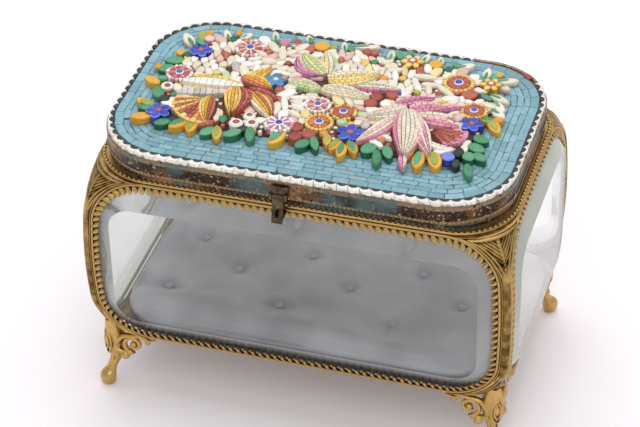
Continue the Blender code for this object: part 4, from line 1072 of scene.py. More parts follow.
def bird_right():
    """The pink one: cream wings that hang to the front, pink ones spread to the right."""
    heap = Heap()
    wing(heap, (26.8, 4.6), (14.6, -4.4), 7.2, ("cream", "blush", "cream", "grey", "cream"), 0.8, 106.9)
    wing(heap, (24.6, -1.0), (15.2, -19.4), 5.8, ("cream", "blush", "cream", "pink"), 1.0, 106.7)
    broad = ("pink", "blush", "cream", "cream", "cream", "cream", "blush")
    wing(heap, (26.4, 3.8), (32.6, -23.6), 10.4, broad, 0.9, 107.2)
    wing(heap, (31.4, -20.6), (34.0, -29.0), 3.0, ("pink", "blush"), 0.0, 106.0)
    wing(heap, (31.4, -0.6), (40.8, -20.8), 5.8, ("blush", "pink", "cream", "pink", "cream"), -0.6, 107.0)
    wing(heap, (21.6, 3.8), (34.4, 11.6), 4.6, ("pink", "mauve", "pink"), 0.6, 106.9)
    wing(heap, (26.8, 2.8), (39.6, 7.2), 6.0, ("pink", "pink", "blush"), 0.4, 107.1)
    wing(heap, (35.0, 5.6), (44.6, 9.2), 4.8, ("mauve", "pink", "blush"), -0.2, 106.7)
    wing(heap, (29.4, 0.8), (43.2, 2.6), 3.8, ("blush", "cream"), -0.4, 106.9)
    wing(heap, (33.6, -1.8), (46.0, -2.8), 5.4, ("pink", "pink", "blush"), 0.4, 107.0)
    reach = (10.4, 12.4, 13.6, 13.8, 13.2)
    fan(heap, (36.2, -5.6), -46, 8, 1.8, reach, ("rust", "red", "rust") * 3, 106.6, "pink")
    wing(heap, (37.4, -12.4), (48.0, -14.4), 2.6, ("white", "cream"), -1.6, 106.5)
    heap.make("bird_right_feathers", FINISHES, "lid", ["bird_right"], "rose_tesserae")


bird_left()
bird_back()
bird_right()

# %% [markdown]
# ## Petals between the flowers
# What is left of the bed is filled with cream petals, like rice, in loose sprays, with a few red,
# yellow and green crumbs pressed into the gaps. Their middles lie on a shaken lattice, and any that
# would touch a flower or a bird is left out by measuring its distance to all of them at once. Each
# petal then grows until it meets its neighbours, as the cells of a honeycomb do, so the bed is full.

# %% Petal bed
PETAL_LOW, BED_TOP = 104.0, 105.0
PETAL_SHAPE = oval(12, 1.15, 0.8)

# Round blossoms and single drops as (x, y, diameter, top, side), or one colour for both
DROPS = (
    (-54.5, -5.5, 4.4, "white"), (-54.3, -5.8, 2.2, "red"),
    (19.9, 9.1, 4.4, "red", "rust"), (15.1, 6.5, 4.4, "red", "rust"),
    (14.3, 2.5, 4.6, "red", "rust"), (19.1, 3.5, 3.8, "white", "mint"),
    (-5.5, -17.1, 5.2, "red", "rust"), (-0.5, -19.7, 5.2, "red", "rust"),
    (-4.3, -22.3, 4.8, "red", "rust"), (44.7, 16.1, 5.6, "rust", "red"),
    (40.1, 16.9, 4.4, "rust", "red"), (4.7, 32.1, 3.4, "red", "rust"),
    (7.3, 31.9, 3.0, "rust"), (-11.3, 31.3, 5.6, "amber", "orange"),
    (29.3, 30.5, 4.8, "amber", "orange"), (14.5, 17.7, 2.8, "orange", "blush"),
    (8.9, 26.5, 2.6, "green"), (-19.3, 18.1, 2.6, "red", "rust"),
    (-17.3, 2.3, 3.4, "red", "blush"), (-15.5, -2.9, 2.8, "rust", "blush"),
    (-17.7, 8.9, 2.2, "orange", "rust"), (22.5, 9.3, 1.8, "blue", "white"),
    (46.7, -20.3, 4.6, "pale_blue", "blue"), (8.1, -10.3, 3.6, "mint", "white"),
    (4.3, -18.1, 3.0, "orange", "lemon"), (-50.1, 25.7, 3.6, "blush", "pink"),
    (-24.3, 30.3, 3.6, "pink", "blush"), (-20.1, 31.7, 3.0, "red", "blush"),
    (27.7, 12.1, 2.2, "olive"), (34.9, 12.9, 2.4, "red", "blush"),
    (20.7, 19.5, 2.6, "gold", "olive"), (23.7, -16.5, 2.0, "orange", "blush"),
)

# Small flowers with a pale heart, as (x, y, radius)
SMALL_FLOWERS = ((50.2, 23.6, 3.6), (21.2, 30.2, 3.9))

# Larger petals listed one by one, as (x, y, length, width, heading, colour)
BIG_PETALS = (
    (-27.1, 26.6, 8.0, 3.4, 128, "cream"), (-23.1, 23.8, 9.6, 3.0, 108, "cream"),
    (-30.7, 21.6, 6.4, 2.8, 160, "cream"), (-35.7, 11.6, 7.4, 3.2, 115, "grey"),
    (-32.3, 10.0, 8.0, 3.4, 118, "cream"), (-28.7, 12.4, 6.0, 2.6, 100, "white"),
    (-25.9, 17.6, 5.4, 3.4, 10, "cream"), (-2.9, 27.6, 6.4, 2.4, 112, "blush"),
    (-0.3, 27.6, 6.0, 2.4, 78, "blush"), (-5.3, 27.0, 6.0, 2.4, 130, "cream"),
    (-2.5, 25.0, 3.6, 2.4, 95, "rust"), (-13.5, -4.6, 10.0, 2.6, 112, "white"),
    (-9.5, -0.4, 6.0, 2.4, 12, "white"), (-8.1, -6.4, 5.4, 2.2, 350, "white"),
    (-6.7, -4.0, 4.8, 2.0, 70, "white"), (-8.1, -10.0, 5.0, 2.6, 340, "cream"),
    (26.5, 16.4, 8.4, 2.8, 118, "white"), (30.7, 18.2, 6.4, 2.6, 10, "cream"),
    (30.9, 15.0, 6.2, 2.4, 105, "cream"), (36.3, 16.2, 9.0, 2.8, 145, "cream"),
    (27.9, 22.0, 8.2, 2.6, 8, "cream"), (17.1, 23.6, 6.6, 2.6, 20, "cream"),
    (17.9, 20.4, 5.6, 2.4, 108, "white"), (24.1, 10.8, 5.4, 2.6, 60, "white"),
    (42.9, 12.4, 4.2, 2.2, 110, "white"), (44.3, 2.0, 3.8, 3.4, 100, "blush"),
    (46.3, -2.8, 3.4, 2.6, 95, "grey"), (45.3, 3.8, 3.6, 2.0, 140, "mint"),
    (20.1, -9.4, 4.2, 3.6, 100, "grey"), (16.1, -10.0, 4.6, 3.2, 95, "grey"),
    (12.7, 27.6, 4.0, 2.6, 20, "cream"), (27.3, 27.4, 5.6, 2.8, 110, "white"),
)

# %% Room in the bed
# Segments that birds and leaves cover, as (x0, y0, x1, y1, half width)
COVERED = (
    (-49.5, -0.1, -30.5, 0.6, 3.6), (-49.5, -8.0, -34.9, -6.2, 2.6),
    (-39.5, -10.6, -44.1, -20.6, 6.4), (-37.9, -8.6, -34.7, -22.6, 2.8),
    (-30.9, -1.6, -28.3, -16.2, 4.6), (-25.5, -2.6, -15.3, -14.2, 3.4),
    (-31.1, 5.4, -15.9, -4.4, 3.4), (-30.5, 4.0, -23.7, 13.4, 2.4),
    (-16.1, 22.0, -9.5, 9.6, 1.8), (-9.5, 9.6, -4.3, 10.8, 1.8),
    (-5.1, 13.8, -15.1, 24.0, 3.8), (-4.3, 14.4, -8.3, 27.0, 3.0),
    (-3.5, 11.6, 13.1, 18.6, 4.6), (-2.5, 19.0, 6.5, 21.4, 2.2),
    (-15.5, 7.2, 13.5, 4.2, 3.0), (6.5, 10.6, 22.1, 11.6, 2.4),
    (26.5, 2.6, 15.7, -5.6, 3.4), (24.5, -3.6, 16.1, -20.4, 2.6),
    (27.3, 1.4, 34.1, -29.6, 5.0), (32.3, -3.0, 40.9, -21.6, 2.8),
    (22.9, 2.4, 44.5, 7.0, 3.6), (30.5, -1.0, 46.1, -3.0, 3.2),
    (38.5, -8.2, 47.9, -12.6, 5.2),
)
BED_PLAN = (54.0, 26.0, 18.0, (-1.0, 4.0))
SHAKE = 0.26


def taken_circles():
    """All that already stands in the bed, as circles: rows of x, y and radius."""
    rows = [(x, y, r) for _, x, y, r, *_ in DAISIES + BLUE_FLOWERS]
    rows += [(x, y, d / 2) for x, y, d, *_ in DROPS + WHITE_DROPS]
    rows += list(SMALL_FLOWERS)
    for x, y, length, width, turn, *_ in LEAVES + BIG_PETALS:
        reach, turn = 0.3 * (length - width), math.radians(turn)
        dx, dy = reach * math.cos(turn), reach * math.sin(turn)
        rows += [(x + k * dx, y + k * dy, width / 2) for k in (-1, 0, 1)]
    for x0, y0, x1, y1, half in COVERED:
        for share in np.linspace(0.06, 0.94, 8):
            slim = 0.9 * math.sin(math.pi * share) ** 0.6
            rows.append((x0 + share * (x1 - x0), y0 + share * (y1 - y0), half * slim))
    return np.array(rows)


def free_places(pitch, room, circles):
    """A shaken hexagonal lattice in the bed, less the places nearer than room to a circle."""
    half_w, half_d, radius, centre = BED_PLAN
    columns, rows = int(half_w / pitch) + 1, int(half_d / (0.86 * pitch)) + 1
    j, i = np.meshgrid(np.arange(-rows, rows + 1), np.arange(-columns, columns + 1), indexing="ij")
    points = np.stack([(i + 0.5 * (j % 2)) * pitch, j * pitch * 0.86], -1).reshape(-1, 2)
    points = points + rng.uniform(-SHAKE, SHAKE, points.shape) * pitch
    corner = np.maximum(np.abs(points) - (np.array([half_w, half_d]) - radius), 0)
    points = points[np.linalg.norm(corner, axis=1) < radius] + np.array(centre)
    near = np.linalg.norm(points[:, None] - circles[None, :, :2], axis=2) - circles[:, 2]
    return points[near.min(1) > room]


def cells(points, heading, circles, reach, long, joint, corners=16):
    """Outlines that share out the bed: each point keeps what is nearer to it than to its neighbours.

    In the point's own frame, turned by its heading and squeezed by long, the line halfway to a
    neighbour at distance d and direction b lies d / 2 / cos(a - b) away in direction a. A circle of
    radius R at c is met at c.w - sqrt(R^2 - |c|^2 + (c.w)^2) along the unit vector w.
    """
    turn = np.arange(corners) * 2 * np.pi / corners
    c, s = np.cos(heading)[:, None], np.sin(heading)[:, None]
    apart = points[None] - points[:, None]
    order = np.argsort(np.linalg.norm(apart, axis=2), axis=1)[:, 1:15]
    apart = np.take_along_axis(apart, order[..., None], 1)
    u, v = (apart[..., 0] * c + apart[..., 1] * s) / long, -apart[..., 0] * s + apart[..., 1] * c
    facing = np.cos(turn[None, None] - np.arctan2(v, u)[..., None])
    halfway = np.hypot(u, v)[..., None] / 2 / np.where(facing > 0.05, facing, 0.001)
    ray_u, ray_v = long * np.cos(turn), np.sin(turn)
    ray = np.stack([ray_u * c - ray_v * s, ray_u * s + ray_v * c], -1)
    size = np.linalg.norm(ray, axis=2)
    way = ray / size[..., None]
    to = circles[None, :, :2] - points[:, None]
    along = np.einsum("nmk,nck->nmc", to, way)
    inside = circles[None, :, 2:] ** 2 - (to**2).sum(-1)[..., None] + along**2
    met = np.where((inside > 0) & (along > 0), along - np.sqrt(np.maximum(inside, 0)), 99.0)
    far = np.minimum(np.minimum(halfway.min(1), met.min(1) / size), reach)
    far = np.minimum(far, (np.roll(far, 1, 1) + np.roll(far, -1, 1)) / 2 + 0.1)
    return points[:, None] + ray * np.maximum(far - joint / size, 0.25)[..., None]


def scatter(heap, outlines, kinds, tops, **cut):
    """Chips whose colour is drawn by lot: kinds are pairs of a colour and its weight."""
    weights = np.array([weight for _, weight in kinds], float)
    lot = rng.choice(len(kinds), len(outlines), p=weights / weights.sum())
    for k, (word, _) in enumerate(kinds):
        chips(heap, outlines[lot == k], PETAL_LOW, tops[lot == k], shade(word), **cut)


# %% Filling the bed
# Colours and their weights in the lot
PETAL_KINDS = (
    *(("cream", 47), ("white", 30), ("blush", 9), ("straw", 6)),
    *(("mint", 3), ("rust", 2), ("gold", 3)),
)
CRUMB_KINDS = (("cream", 60), ("rust", 14), ("gold", 8), ("green", 4), ("blush", 14))


def petal_bed():
    """The mound, the round blossoms, two small flowers, the large petals, then the filling by lot."""
    heap = Heap()
    place, _, _ = walk(53.5, 25.0, 17.5, 120)
    slab(heap, place + np.array([-1.0, 4.0]), 103.6, BED_TOP, finish=len(PALETTE), soften=0.9)
    for x, y, size, *words in DROPS:
        tall = 106.7 if size < 2.5 else 106.2
        outline = lay(oval(12), x, y, size, size, 0)
        chips(heap, outline, FLOWER_LOW, tall, shade(words[0]), side=shade(words[-1]), bevel=0.35)
    for x, y, radius in SMALL_FLOWERS:
        angle = np.radians(10 + 60 * np.arange(6))
        px, py = x + 0.6 * radius * np.cos(angle), y + 0.6 * radius * np.sin(angle)
        outline = lay(oval(10, 0.85, 0.9), px, py, radius * 0.85, radius * 0.56, np.degrees(angle))
        chips(heap, outline, FLOWER_LOW, 106.1, shade("lemon"), side=shade("amber"), bevel=0.25)
        chips(heap, lay(oval(12), x, y, radius, radius, 0), 105.6, 106.3, shade("rust"), bevel=0.2)
        dome(heap, x, y, radius * 0.24, 106.3, shade("white"))
    for x, y, length, width, turn, colour in BIG_PETALS:
        tall = 106.2 + rng.uniform(-0.2, 0.2)
        outline = lay(PETAL_SHAPE, x, y, length, width, turn)
        chips(heap, outline, PETAL_LOW, tall, shade(colour), bevel=0.4, crown=0.3, lean=0.25)
    circles = taken_circles()
    spots = free_places(3.2, 0.6, circles)
    swirl = 1.66 + 0.9 * np.sin(spots[:, 0] / 9.5) + 0.8 * np.cos(spots[:, 1] / 7.0 + 1.0)
    outlines = cells(spots, swirl, circles, reach=2.5, long=1.8, joint=0.05)
    tops = rng.uniform(105.5, 106.2, len(spots))
    scatter(heap, outlines, PETAL_KINDS, tops, bevel=0.24, crown=0.2, lean=0.3)
    near = np.concatenate([circles, np.column_stack([spots, np.full(len(spots), 1.6)])])
    crumbs = free_places(2.3, 0.2, near)
    outlines = cells(crumbs, 0 * crumbs[:, 0], near, reach=0.8, long=1.0, joint=0.02, corners=8)
    scatter(heap, outlines, CRUMB_KINDS, np.full(len(crumbs), 105.4), bevel=0.15, lean=0.1)
    print("petals:", len(spots), "crumbs:", len(crumbs))
    heap.make("petal_bed", FINISHES + [mastic], "lid", ["petal_ground"], "cream_tesserae")


petal_bed()

# %% [markdown]
# ## Toothed frames
# Each side of the casket is a stamped brass frame. Its section is a channel: a wall, a rounded
# ridge, a groove, and a row of small tongues bent over the edge of the glass. The section is carried
# round the panel's outline, and the tongues come from a function of the length walked: it opens and
# closes every 2.6 mm. The sides of the casket swell outwards at mid height, as a parabola does.

# %% Panels
CORNER_X, CORNER_Y = 71.2, 41.0
BULGE, BULGE_MID, BULGE_HALF = 2.7, 57.0, 36.0
FRAME_LOW, FRAME_HIGH, FRAME_R = 24.4, 90.5, 17.0
SIDE_GAP = 3.0
TOOTH_PITCH = 2.6


def swelling(z):
    """BULGE (1 - ((z - BULGE_MID) / BULGE_HALF)^2), and nothing past the ends of that arch."""
    return BULGE * np.maximum(0.0, 1.0 - ((z - BULGE_MID) / BULGE_HALF) ** 2)


class Side:
    """One side of the casket. across runs along it, depth is measured in from its face."""

    def __init__(self, word, half, face, turn):
        self.word, self.half, self.face = word, half - SIDE_GAP, face
        self.turn = math.radians(turn)

    def place(self, across, depth, z, swell=1.0):
        """The side is flat; the swelling moves it out, and moves its ends apart near the corners."""
        share = np.minimum(1.0, np.abs(across) / (self.half - FRAME_R))
        u = across + np.sign(across) * swelling(z) * share * swell
        v = -(self.face - depth + swelling(z) * swell)
        c, s = math.cos(self.turn), math.sin(self.turn)
        return np.stack([u * c - v * s, u * s + v * c, z + 0 * u], -1)

    def outline(self, steps, half=None, low=FRAME_LOW, high=FRAME_HIGH, radius=FRAME_R):
        """Places on the panel's outline as across and z, with outward normals, evenly spaced."""
        half = self.half if half is None else half
        middle, half_high = (low + high) / 2, (high - low) / 2
        place, normal, whole = walk(half, half_high, radius, steps)
        return place + np.array([0, middle]), normal, whole


SIDES = (
    Side("front", CORNER_X, CORNER_Y, 0),
    Side("right", CORNER_Y, CORNER_X, 90),
    Side("back", CORNER_X, CORNER_Y, 180),
    Side("left", CORNER_Y, CORNER_X, 270),
)

# %% Teeth
PER_TOOTH = 12
SLANT = 0.35
RAIL_INSET, TONGUE_LONG, TONGUE_EXTRA = 0.95, 2.9, 0.9
TONGUE_SHARES = (0.0, 0.15, 0.35, 0.6, 0.82, 0.95, 1.0)


def tongue(phase):
    """1 on a tongue and 0 between two: a cosine pushed up and cut off, so its sides are steep."""
    return np.clip(0.85 + 1.2 * np.cos(2 * np.pi * phase), 0, 1) ** 0.6


def toothed_frame(side):
    """Rings run round the panel: back edge, a smooth rail, then slanted tongues and their underside.

    The rail is half a circle. A tongue reaches RAIL_INSET + (tip - RAIL_INSET) share tongue(phase),
    and its phase runs on with the share, which slants it. Near the upper corners tips are longer.
    """
    heap = Heap()
    _, _, whole = side.outline(8)
    teeth = round(whole / TOOTH_PITCH)
    place, normal, _ = side.outline(teeth * PER_TOOTH)
    phase = np.arange(teeth * PER_TOOTH) / PER_TOOTH
    high = np.clip((place[:, 1] - 70.0) / 18.0, 0, 1)
    aside = np.clip(np.abs(place[:, 0]) / (side.half - 8.0), 0, 1)
    tip = TONGUE_LONG + TONGUE_EXTRA * high * aside**2
    rail = np.radians(np.array([180, 150, 110, 70, 40]))
    flat = 0 * phase
    insets = [flat, *(flat + 0.5 + 0.5 * np.cos(turn) for turn in rail)]
    depths = [flat + 2.4, *(flat + 0.3 - 0.45 * np.sin(turn) for turn in rail)]
    for share in TONGUE_SHARES:
        open_ = tongue(phase + SLANT * share)
        insets.append(RAIL_INSET + (tip - RAIL_INSET) * share * (0.12 + 0.88 * open_))
        depths.append(0.75 - (0.35 + 0.9 * math.sin(math.pi * (0.2 + 0.52 * share))) * open_)
    insets += [insets[-1] * 0.97, flat + 0.9]
    depths += [flat + 1.1, flat + 1.4]
    out = place[:, None] - normal[:, None] * np.stack(insets, 1)[..., None]
    heap.tubes(side.place(out[..., 0], np.stack(depths, 1), out[..., 1]))
    name = f"toothed_frame_{side.word}"
    heap.make(name, [gilt], "casket", [f"frame_{side.word}"], "gilt_brass", sharp=50.0, wear=5)


for side in SIDES:
    toothed_frame(side)

# %% [markdown]
# ## Bevelled panes
# The glass is thick, clear, and ground to a wide slanting bevel around a flat face that stands
# proud. Real refraction draws what is behind it a second time in the bevel. Plain values do this:
# full transmission, an index of 1.5, and no roughness. The panes cast no shadow of their own, so
# light reaches the pad as it does through clear glass. A bevel that has been wiped for a century is
# not quite clear: it scatters a little light, pale green on the sides, and in front it turns grey
# towards its foot. The rim that sits in the brass was only ground, and stays matt.

# %% Panes
FOOT_DARKENS_FROM, FOOT_DARKENS_TO = 38.0, 30.0
PANE_STEPS = 240


def cut_glass(name, roughness, clear, tint):
    """Crown glass, IOR 1.5: clear is the share of light that passes straight through."""
    return new_finish(name, roughness, IOR=1.5, Transmission_Weight=clear, Base_Color=linear(tint))


glass, _, _ = cut_glass("clear_ground_glass", 0.0, 1.0, "#fafdfb")
ground_edge, _, _ = cut_glass("ground_glass_edge", 0.4, 0.5, "#8f988c")
hazy, _, _ = cut_glass("hazy_bevelled_glass", 0.2, 0.5, "#eef4e8")
worn, worn_tree, worn_shader = cut_glass("worn_bevelled_glass", 0.06, 0.86, "#eef1f0")
# The bevel's colour darkens towards its foot, from FOOT_DARKENS_FROM down to FOOT_DARKENS_TO mm.
foot_darkening = spread(worn_tree, height_mm(worn_tree), FOOT_DARKENS_FROM, FOOT_DARKENS_TO)
worn_colour = blend_colours(worn_tree, foot_darkening, "#eef1f0", "#8b8f92")
worn_tree.links.new(worn_colour, worn_shader.inputs["Base Color"])

# Rings from the back to the bevel's foot as (inset, depth, share of the swelling)
PANE_RINGS = ((1.5, 2.8, 0.0), (1.3, 2.6, 0.3), (1.3, 2.1, 1.0), (1.5, 1.75, 1.0), (2.3, 1.3, 1.0))
FACET_INSET, FACET_LOW, FACET_HIGH, FACET_R = 7.8, 34.1, 81.4, 8.5


def pane(side):
    """Rings from the flat back over a slanted rim and the wide bevel to the flat front."""
    heap = Heap()
    rings = []
    place, normal, _ = side.outline(PANE_STEPS)
    for inset, depth, swell in PANE_RINGS:
        flat = place - normal * inset
        rings.append(side.place(flat[:, 0], depth, flat[:, 1], swell))
    half = side.half + SIDE_GAP - FACET_INSET
    facet, normal, _ = side.outline(PANE_STEPS, half, FACET_LOW, FACET_HIGH, FACET_R)
    for inset, depth in ((0.0, -3.72), (0.12, -3.8)):
        flat = facet - normal * inset
        rings.append(side.place(flat[:, 0], depth, flat[:, 1], 0.0))
    heap.stack(np.stack(rings)[None], [0, 1, 1, 1, 1, 2, 2, 0])
    finishes = [glass, ground_edge, hazy if side.word in ("left", "right") else worn]
    name = f"bevelled_pane_{side.word}"
    obj = heap.make(name, finishes, "casket", [f"pane_{side.word}"], "clear_glass", sharp=8.0)
    obj.visible_shadow = False


for side in SIDES:
    pane(side)

# %% [markdown]
# ## Corners
# Between two frames runs a slender post that opens at its top into a curved three-cornered leaf with
# raised borders, veins and a middle rib. The plain sheet is a quarter circle at every height, and
# its radius grows as the frames' corners turn away. The relief is added outwards: two ridges along
# each edge, and inside them veins that rise slanting from the rib. The post itself is just rounded.

# %% Corner mounts
POST_WALL = 1.2
VEIN_PITCH, VEIN_DEPTH = 1.4, 0.1
POST_WIDE, LEAF_WIDE = 5.0, 8.0
# How far the sheet's middle line moves out when its radius grows by one: sqrt 2 - 1
MIDDLE_SHARE = 0.414


def corner_radius(z):
    """The sheet's radius in plan: small on the post, larger where the frames' arcs turn away."""
    low, high = FRAME_LOW + FRAME_R, FRAME_HIGH - FRAME_R
    past = np.maximum(z - high, 0) + np.maximum(low - z, 0)
    turned = np.sqrt(np.maximum(FRAME_R**2 - past**2, 0))
    return SIDE_GAP - 0.3 + FRAME_R - turned


def corner_sheet(heap, low, high, rows, columns=65):
    """A loft in z. Outer face: quarter circle plus relief. Inner face: the same circle, thinner.

    near is the distance to the closest edge, aside that to the middle line, and from_post the length
    walked along the sheet. Ridges are exp(-((near - place) / width)^2), veins are cos(2 pi (from_post
    - 0.9 aside) / VEIN_PITCH). Where it is narrow this blends into the post, sqrt(1 - (aside / half)^2).
    """
    z = low + (high - low) * (1 - np.cos(np.linspace(0, np.pi, rows)[:, None])) / 2
    radius = corner_radius(z)
    share = np.linspace(0, 1, columns)[None]
    angle = np.radians(-90 + 90 * share)
    wide = radius * np.pi / 2
    aside = np.abs(share - 0.5) * wide
    step = np.hypot(np.diff(z, axis=0), MIDDLE_SHARE * np.diff(radius, axis=0))
    run = np.concatenate([[[0.0]], np.cumsum(step, axis=0)])
    upper = high > BULGE_MID
    to_end, from_post = (run[-1:] - run, run) if upper else (run, run[-1:] - run)
    near = np.minimum(np.minimum(share, 1 - share) * wide, to_end * 0.9)
    border = 0.5 * np.exp(-(((near - 0.7) / 0.45) ** 2)) + 0.3 * np.exp(-(((near - 2.0) / 0.38) ** 2))
    veins = VEIN_DEPTH * np.cos(2 * np.pi * (from_post - 0.9 * aside) / VEIN_PITCH)
    field = np.clip((near - 2.3) / 0.5, 0, 1)
    relief = border + veins * field + 0.3 * field * np.exp(-((aside / 0.5) ** 2)) - 0.15 * field
    narrow = np.clip((LEAF_WIDE - wide) / (LEAF_WIDE - POST_WIDE), 0, 1)
    rounded = 0.75 * np.sqrt(np.maximum(1 - (aside / (wide * 0.4)) ** 2, 0)) - 0.1
    relief = relief * (1 - narrow) + rounded * narrow
    swell = swelling(z)
    cx, cy = CORNER_X + swell - radius, -(CORNER_Y + swell - radius)
    outer = radius + relief - 0.12
    face = np.stack([cx + outer * np.cos(angle), cy + outer * np.sin(angle), z + 0 * angle], -1)
    back = radius - POST_WALL + 0 * angle
    inside = np.stack([cx + back * np.cos(angle), cy + back * np.sin(angle), z + 0 * angle], -1)
    heap.stack(np.concatenate([face, inside[:, ::-1]], 1)[None])


# The corners, and whether each is mirrored along x and along y
CORNERS = (("front_right", 0, 0), ("front_left", 1, 0), ("back_right", 0, 1), ("back_left", 1, 1))
corner = Heap()
corner_sheet(corner, FRAME_LOW + FRAME_R + 0.3, FRAME_HIGH, 90)
for word, flip_x, flip_y in CORNERS:
    mount = corner.mirrored(flip_x, flip_y)
    name = f"engraved_corner_{word}"
    mount.make(name, [gilt], "casket", [f"corner_mount_{word}"], "gilt_brass", sharp=60.0, wear=8)

# %% [markdown]
# ## Cast feet
# A foot is one casting: a leaf that climbs the corner, a leg with a raised oval on it that leans out
# to a round toe, and a pierced scroll on each side. Tubes along bent lines give the scrolls; a loft
# gives the leg. Subdividing a rough cage would also work, but the lines of a scroll are easier to
# draw as lines.

# %% Feet
LEG_WAIST = np.array([67.0, -37.0])
DIAGONAL = np.array([1.0, -1.0]) / math.sqrt(2)

# Sections of the leg as (out along the diagonal, z, radius)
LEG_SECTIONS = (
    *((1.6, 28.0, 2.2), (0.6, 22.0, 3.4), (0.3, 16.5, 3.2), (0.8, 11.0, 2.1)),
    *((2.8, 6.8, 1.8), (4.3, 4.4, 2.7), (4.6, 2.0, 2.8), (4.4, 0.0, 2.0)),
)
LEG_SIDES, LEG_LOBES = 28, 6
OVAL_Z, OVAL_HALF_W, OVAL_HALF_H = 18.6, 2.1, 5.2
SCROLL_EYE = (11.2, 18.6)


def smooth_line(points, steps):
    """A smooth line through points: between two of them, a cubic whose slopes come from the next ones."""
    points = np.asarray(points, float)
    padded = np.concatenate([2 * points[:1] - points[1:2], points, 2 * points[-1:] - points[-2:-1]])
    t = np.linspace(0, len(points) - 1 - 1e-9, steps)
    k = t.astype(int)
    f = (t - k)[:, None]
    p0, p1, p2, p3 = padded[k], padded[k + 1], padded[k + 2], padded[k + 3]
    square = (2 * p0 - 5 * p1 + 4 * p2 - p3) * f**2
    cube = (3 * p1 - p0 - 3 * p2 + p3) * f**3
    return 0.5 * (2 * p1 + (p2 - p0) * f + square + cube)


def tube(heap, line, radius, flat, up, sides=12):
    """A bar along a line: a circle in the plane across the line, flattened towards its second axis."""
    line = np.asarray(line, float)
    ahead = np.gradient(line, axis=0)
    ahead /= np.linalg.norm(ahead, axis=1, keepdims=True)
    first = np.cross(ahead, up)
    first /= np.maximum(np.linalg.norm(first, axis=1, keepdims=True), 1e-6)
    second = np.cross(first, ahead)
    turn = np.arange(sides) * 2 * np.pi / sides
    radius = np.broadcast_to(radius, (len(line),))[:, None, None]
    c, s = np.cos(turn)[None, :, None], np.sin(turn)[None, :, None]
    ring = c * first[:, None] * flat + s * second[:, None]
    heap.stack((line[:, None] + ring * radius)[None])


# %% A whole foot


def foot_heap():
    """The front right foot: a lobed leg, the leaf on the corner, an oval and two scrolls.

    The leg's radius is multiplied by 1 + 0.07 cos(6 angle), which fades out towards the toe.
    """
    heap = Heap()
    turn = np.arange(LEG_SIDES) * 2 * np.pi / LEG_SIDES
    out, z, radius = smooth_line(LEG_SECTIONS, 44).T[..., None]
    lobed = radius * (1 + 0.07 * np.cos(LEG_LOBES * turn) * np.clip((z - 6) / 8, 0, 1))
    x = LEG_WAIST[0] + DIAGONAL[0] * out + lobed * np.cos(turn)
    y = LEG_WAIST[1] + DIAGONAL[1] * out + lobed * np.sin(turn)
    heap.stack(np.stack([x, y, np.maximum(z, 0) + 0 * x], -1)[None])
    corner_sheet(heap, FRAME_LOW, FRAME_LOW + FRAME_R, 60)
    cartouche(heap)
    for along_x in (True, False):
        foot_wing(heap, along_x)
    return heap


def cartouche(heap):
    """A raised oval on the leg's outer face: two hoops round a squashed ball.

    The hoops lie on the leg: their depth falls by 0.35 h^2 along it and by 0.13 side^2 across.
    """
    side = np.array([DIAGONAL[1], -DIAGONAL[0]])
    t = np.arange(28) * 2 * np.pi / 28
    for size, lift, thick in ((1.0, 4.0, 0.45), (0.6, 4.25, 0.375)):
        line_side, high = OVAL_HALF_W * size * np.cos(t), size * np.sin(t)
        depth = lift - 0.35 * high**2 - 0.13 * line_side**2
        flat = LEG_WAIST + DIAGONAL * depth[:, None] + side * line_side[:, None]
        hoop_tube(heap, np.column_stack([flat, OVAL_Z + OVAL_HALF_H * high]), thick)
    centre = np.append(LEG_WAIST + DIAGONAL * 3.1, OVAL_Z)
    ball(heap, centre, 1.0, sides=16, rows=9, squash=(1.35, 1.35, 2.6))


def hoop_tube(heap, ring, radius, sides=8):
    """A tube along a closed line: a circle in the plane of the foot's diagonal and the way across."""
    ahead = np.roll(ring, -1, 0) - np.roll(ring, 1, 0)
    ahead /= np.linalg.norm(ahead, axis=1, keepdims=True)
    out = np.append(DIAGONAL, 0.0)
    first = np.cross(ahead, out)
    first /= np.linalg.norm(first, axis=1, keepdims=True)
    turn = np.arange(sides) * 2 * np.pi / sides
    section = np.cos(turn)[None, :, None] * first[:, None] + np.sin(turn)[None, :, None] * out
    heap.tubes(ring[:, None] + section * radius)


def foot_wing(heap, along_x):
    """Pierced scroll under the rail, drawn as (in from the corner, height).

    The scroll is a spiral: its angle runs backwards over 412 degrees while its radius shrinks evenly.
    """

    def put(points, depth=1.6):
        """Places along the front when along_x, else along the right side, depth mm behind its face."""
        inward, z = np.asarray(points, float).T
        if along_x:
            return np.stack([CORNER_X - inward, 0 * z - (CORNER_Y - depth), z], -1)
        return np.stack([0 * z + CORNER_X - depth, -(CORNER_Y - inward), z], -1)

    across = (0.0, 1.0, 0.0) if along_x else (1.0, 0.0, 0.0)
    arm = smooth_line([(4.6, 18.0), (7.4, 21.6), (12.0, 22.6), (16.5, 23.1), (21.5, 23.7)], 30)
    tube(heap, put(arm), np.linspace(1.45, 0.55, 30), 0.8, across)
    turn = np.radians(np.linspace(262, -150, 40))
    size = np.linspace(3.9, 1.1, 40)
    scroll = np.array(SCROLL_EYE) + size[:, None] * np.stack([np.cos(turn), np.sin(turn)], -1)
    root = smooth_line([(4.2, 15.6), (7.2, 14.6), tuple(scroll[0])], 12)
    tube(heap, put(np.concatenate([root[:-1], scroll])), np.linspace(1.25, 0.75, 51), 0.85, across)
    ball(heap, put([SCROLL_EYE]), 1.25, sides=12, rows=7)
    ball(heap, put([(8.0, 13.6)], 1.4), 1.75, sides=12, rows=7)
    ball(heap, put([(16.4, 20.6)], 1.6), 1.0, sides=10, rows=6)
    lobes = smooth_line([(14.4, 22.2), (17.0, 21.4), (19.6, 22.2)], 10)
    tube(heap, put(lobes), np.linspace(0.9, 0.4, 10), 0.8, across)


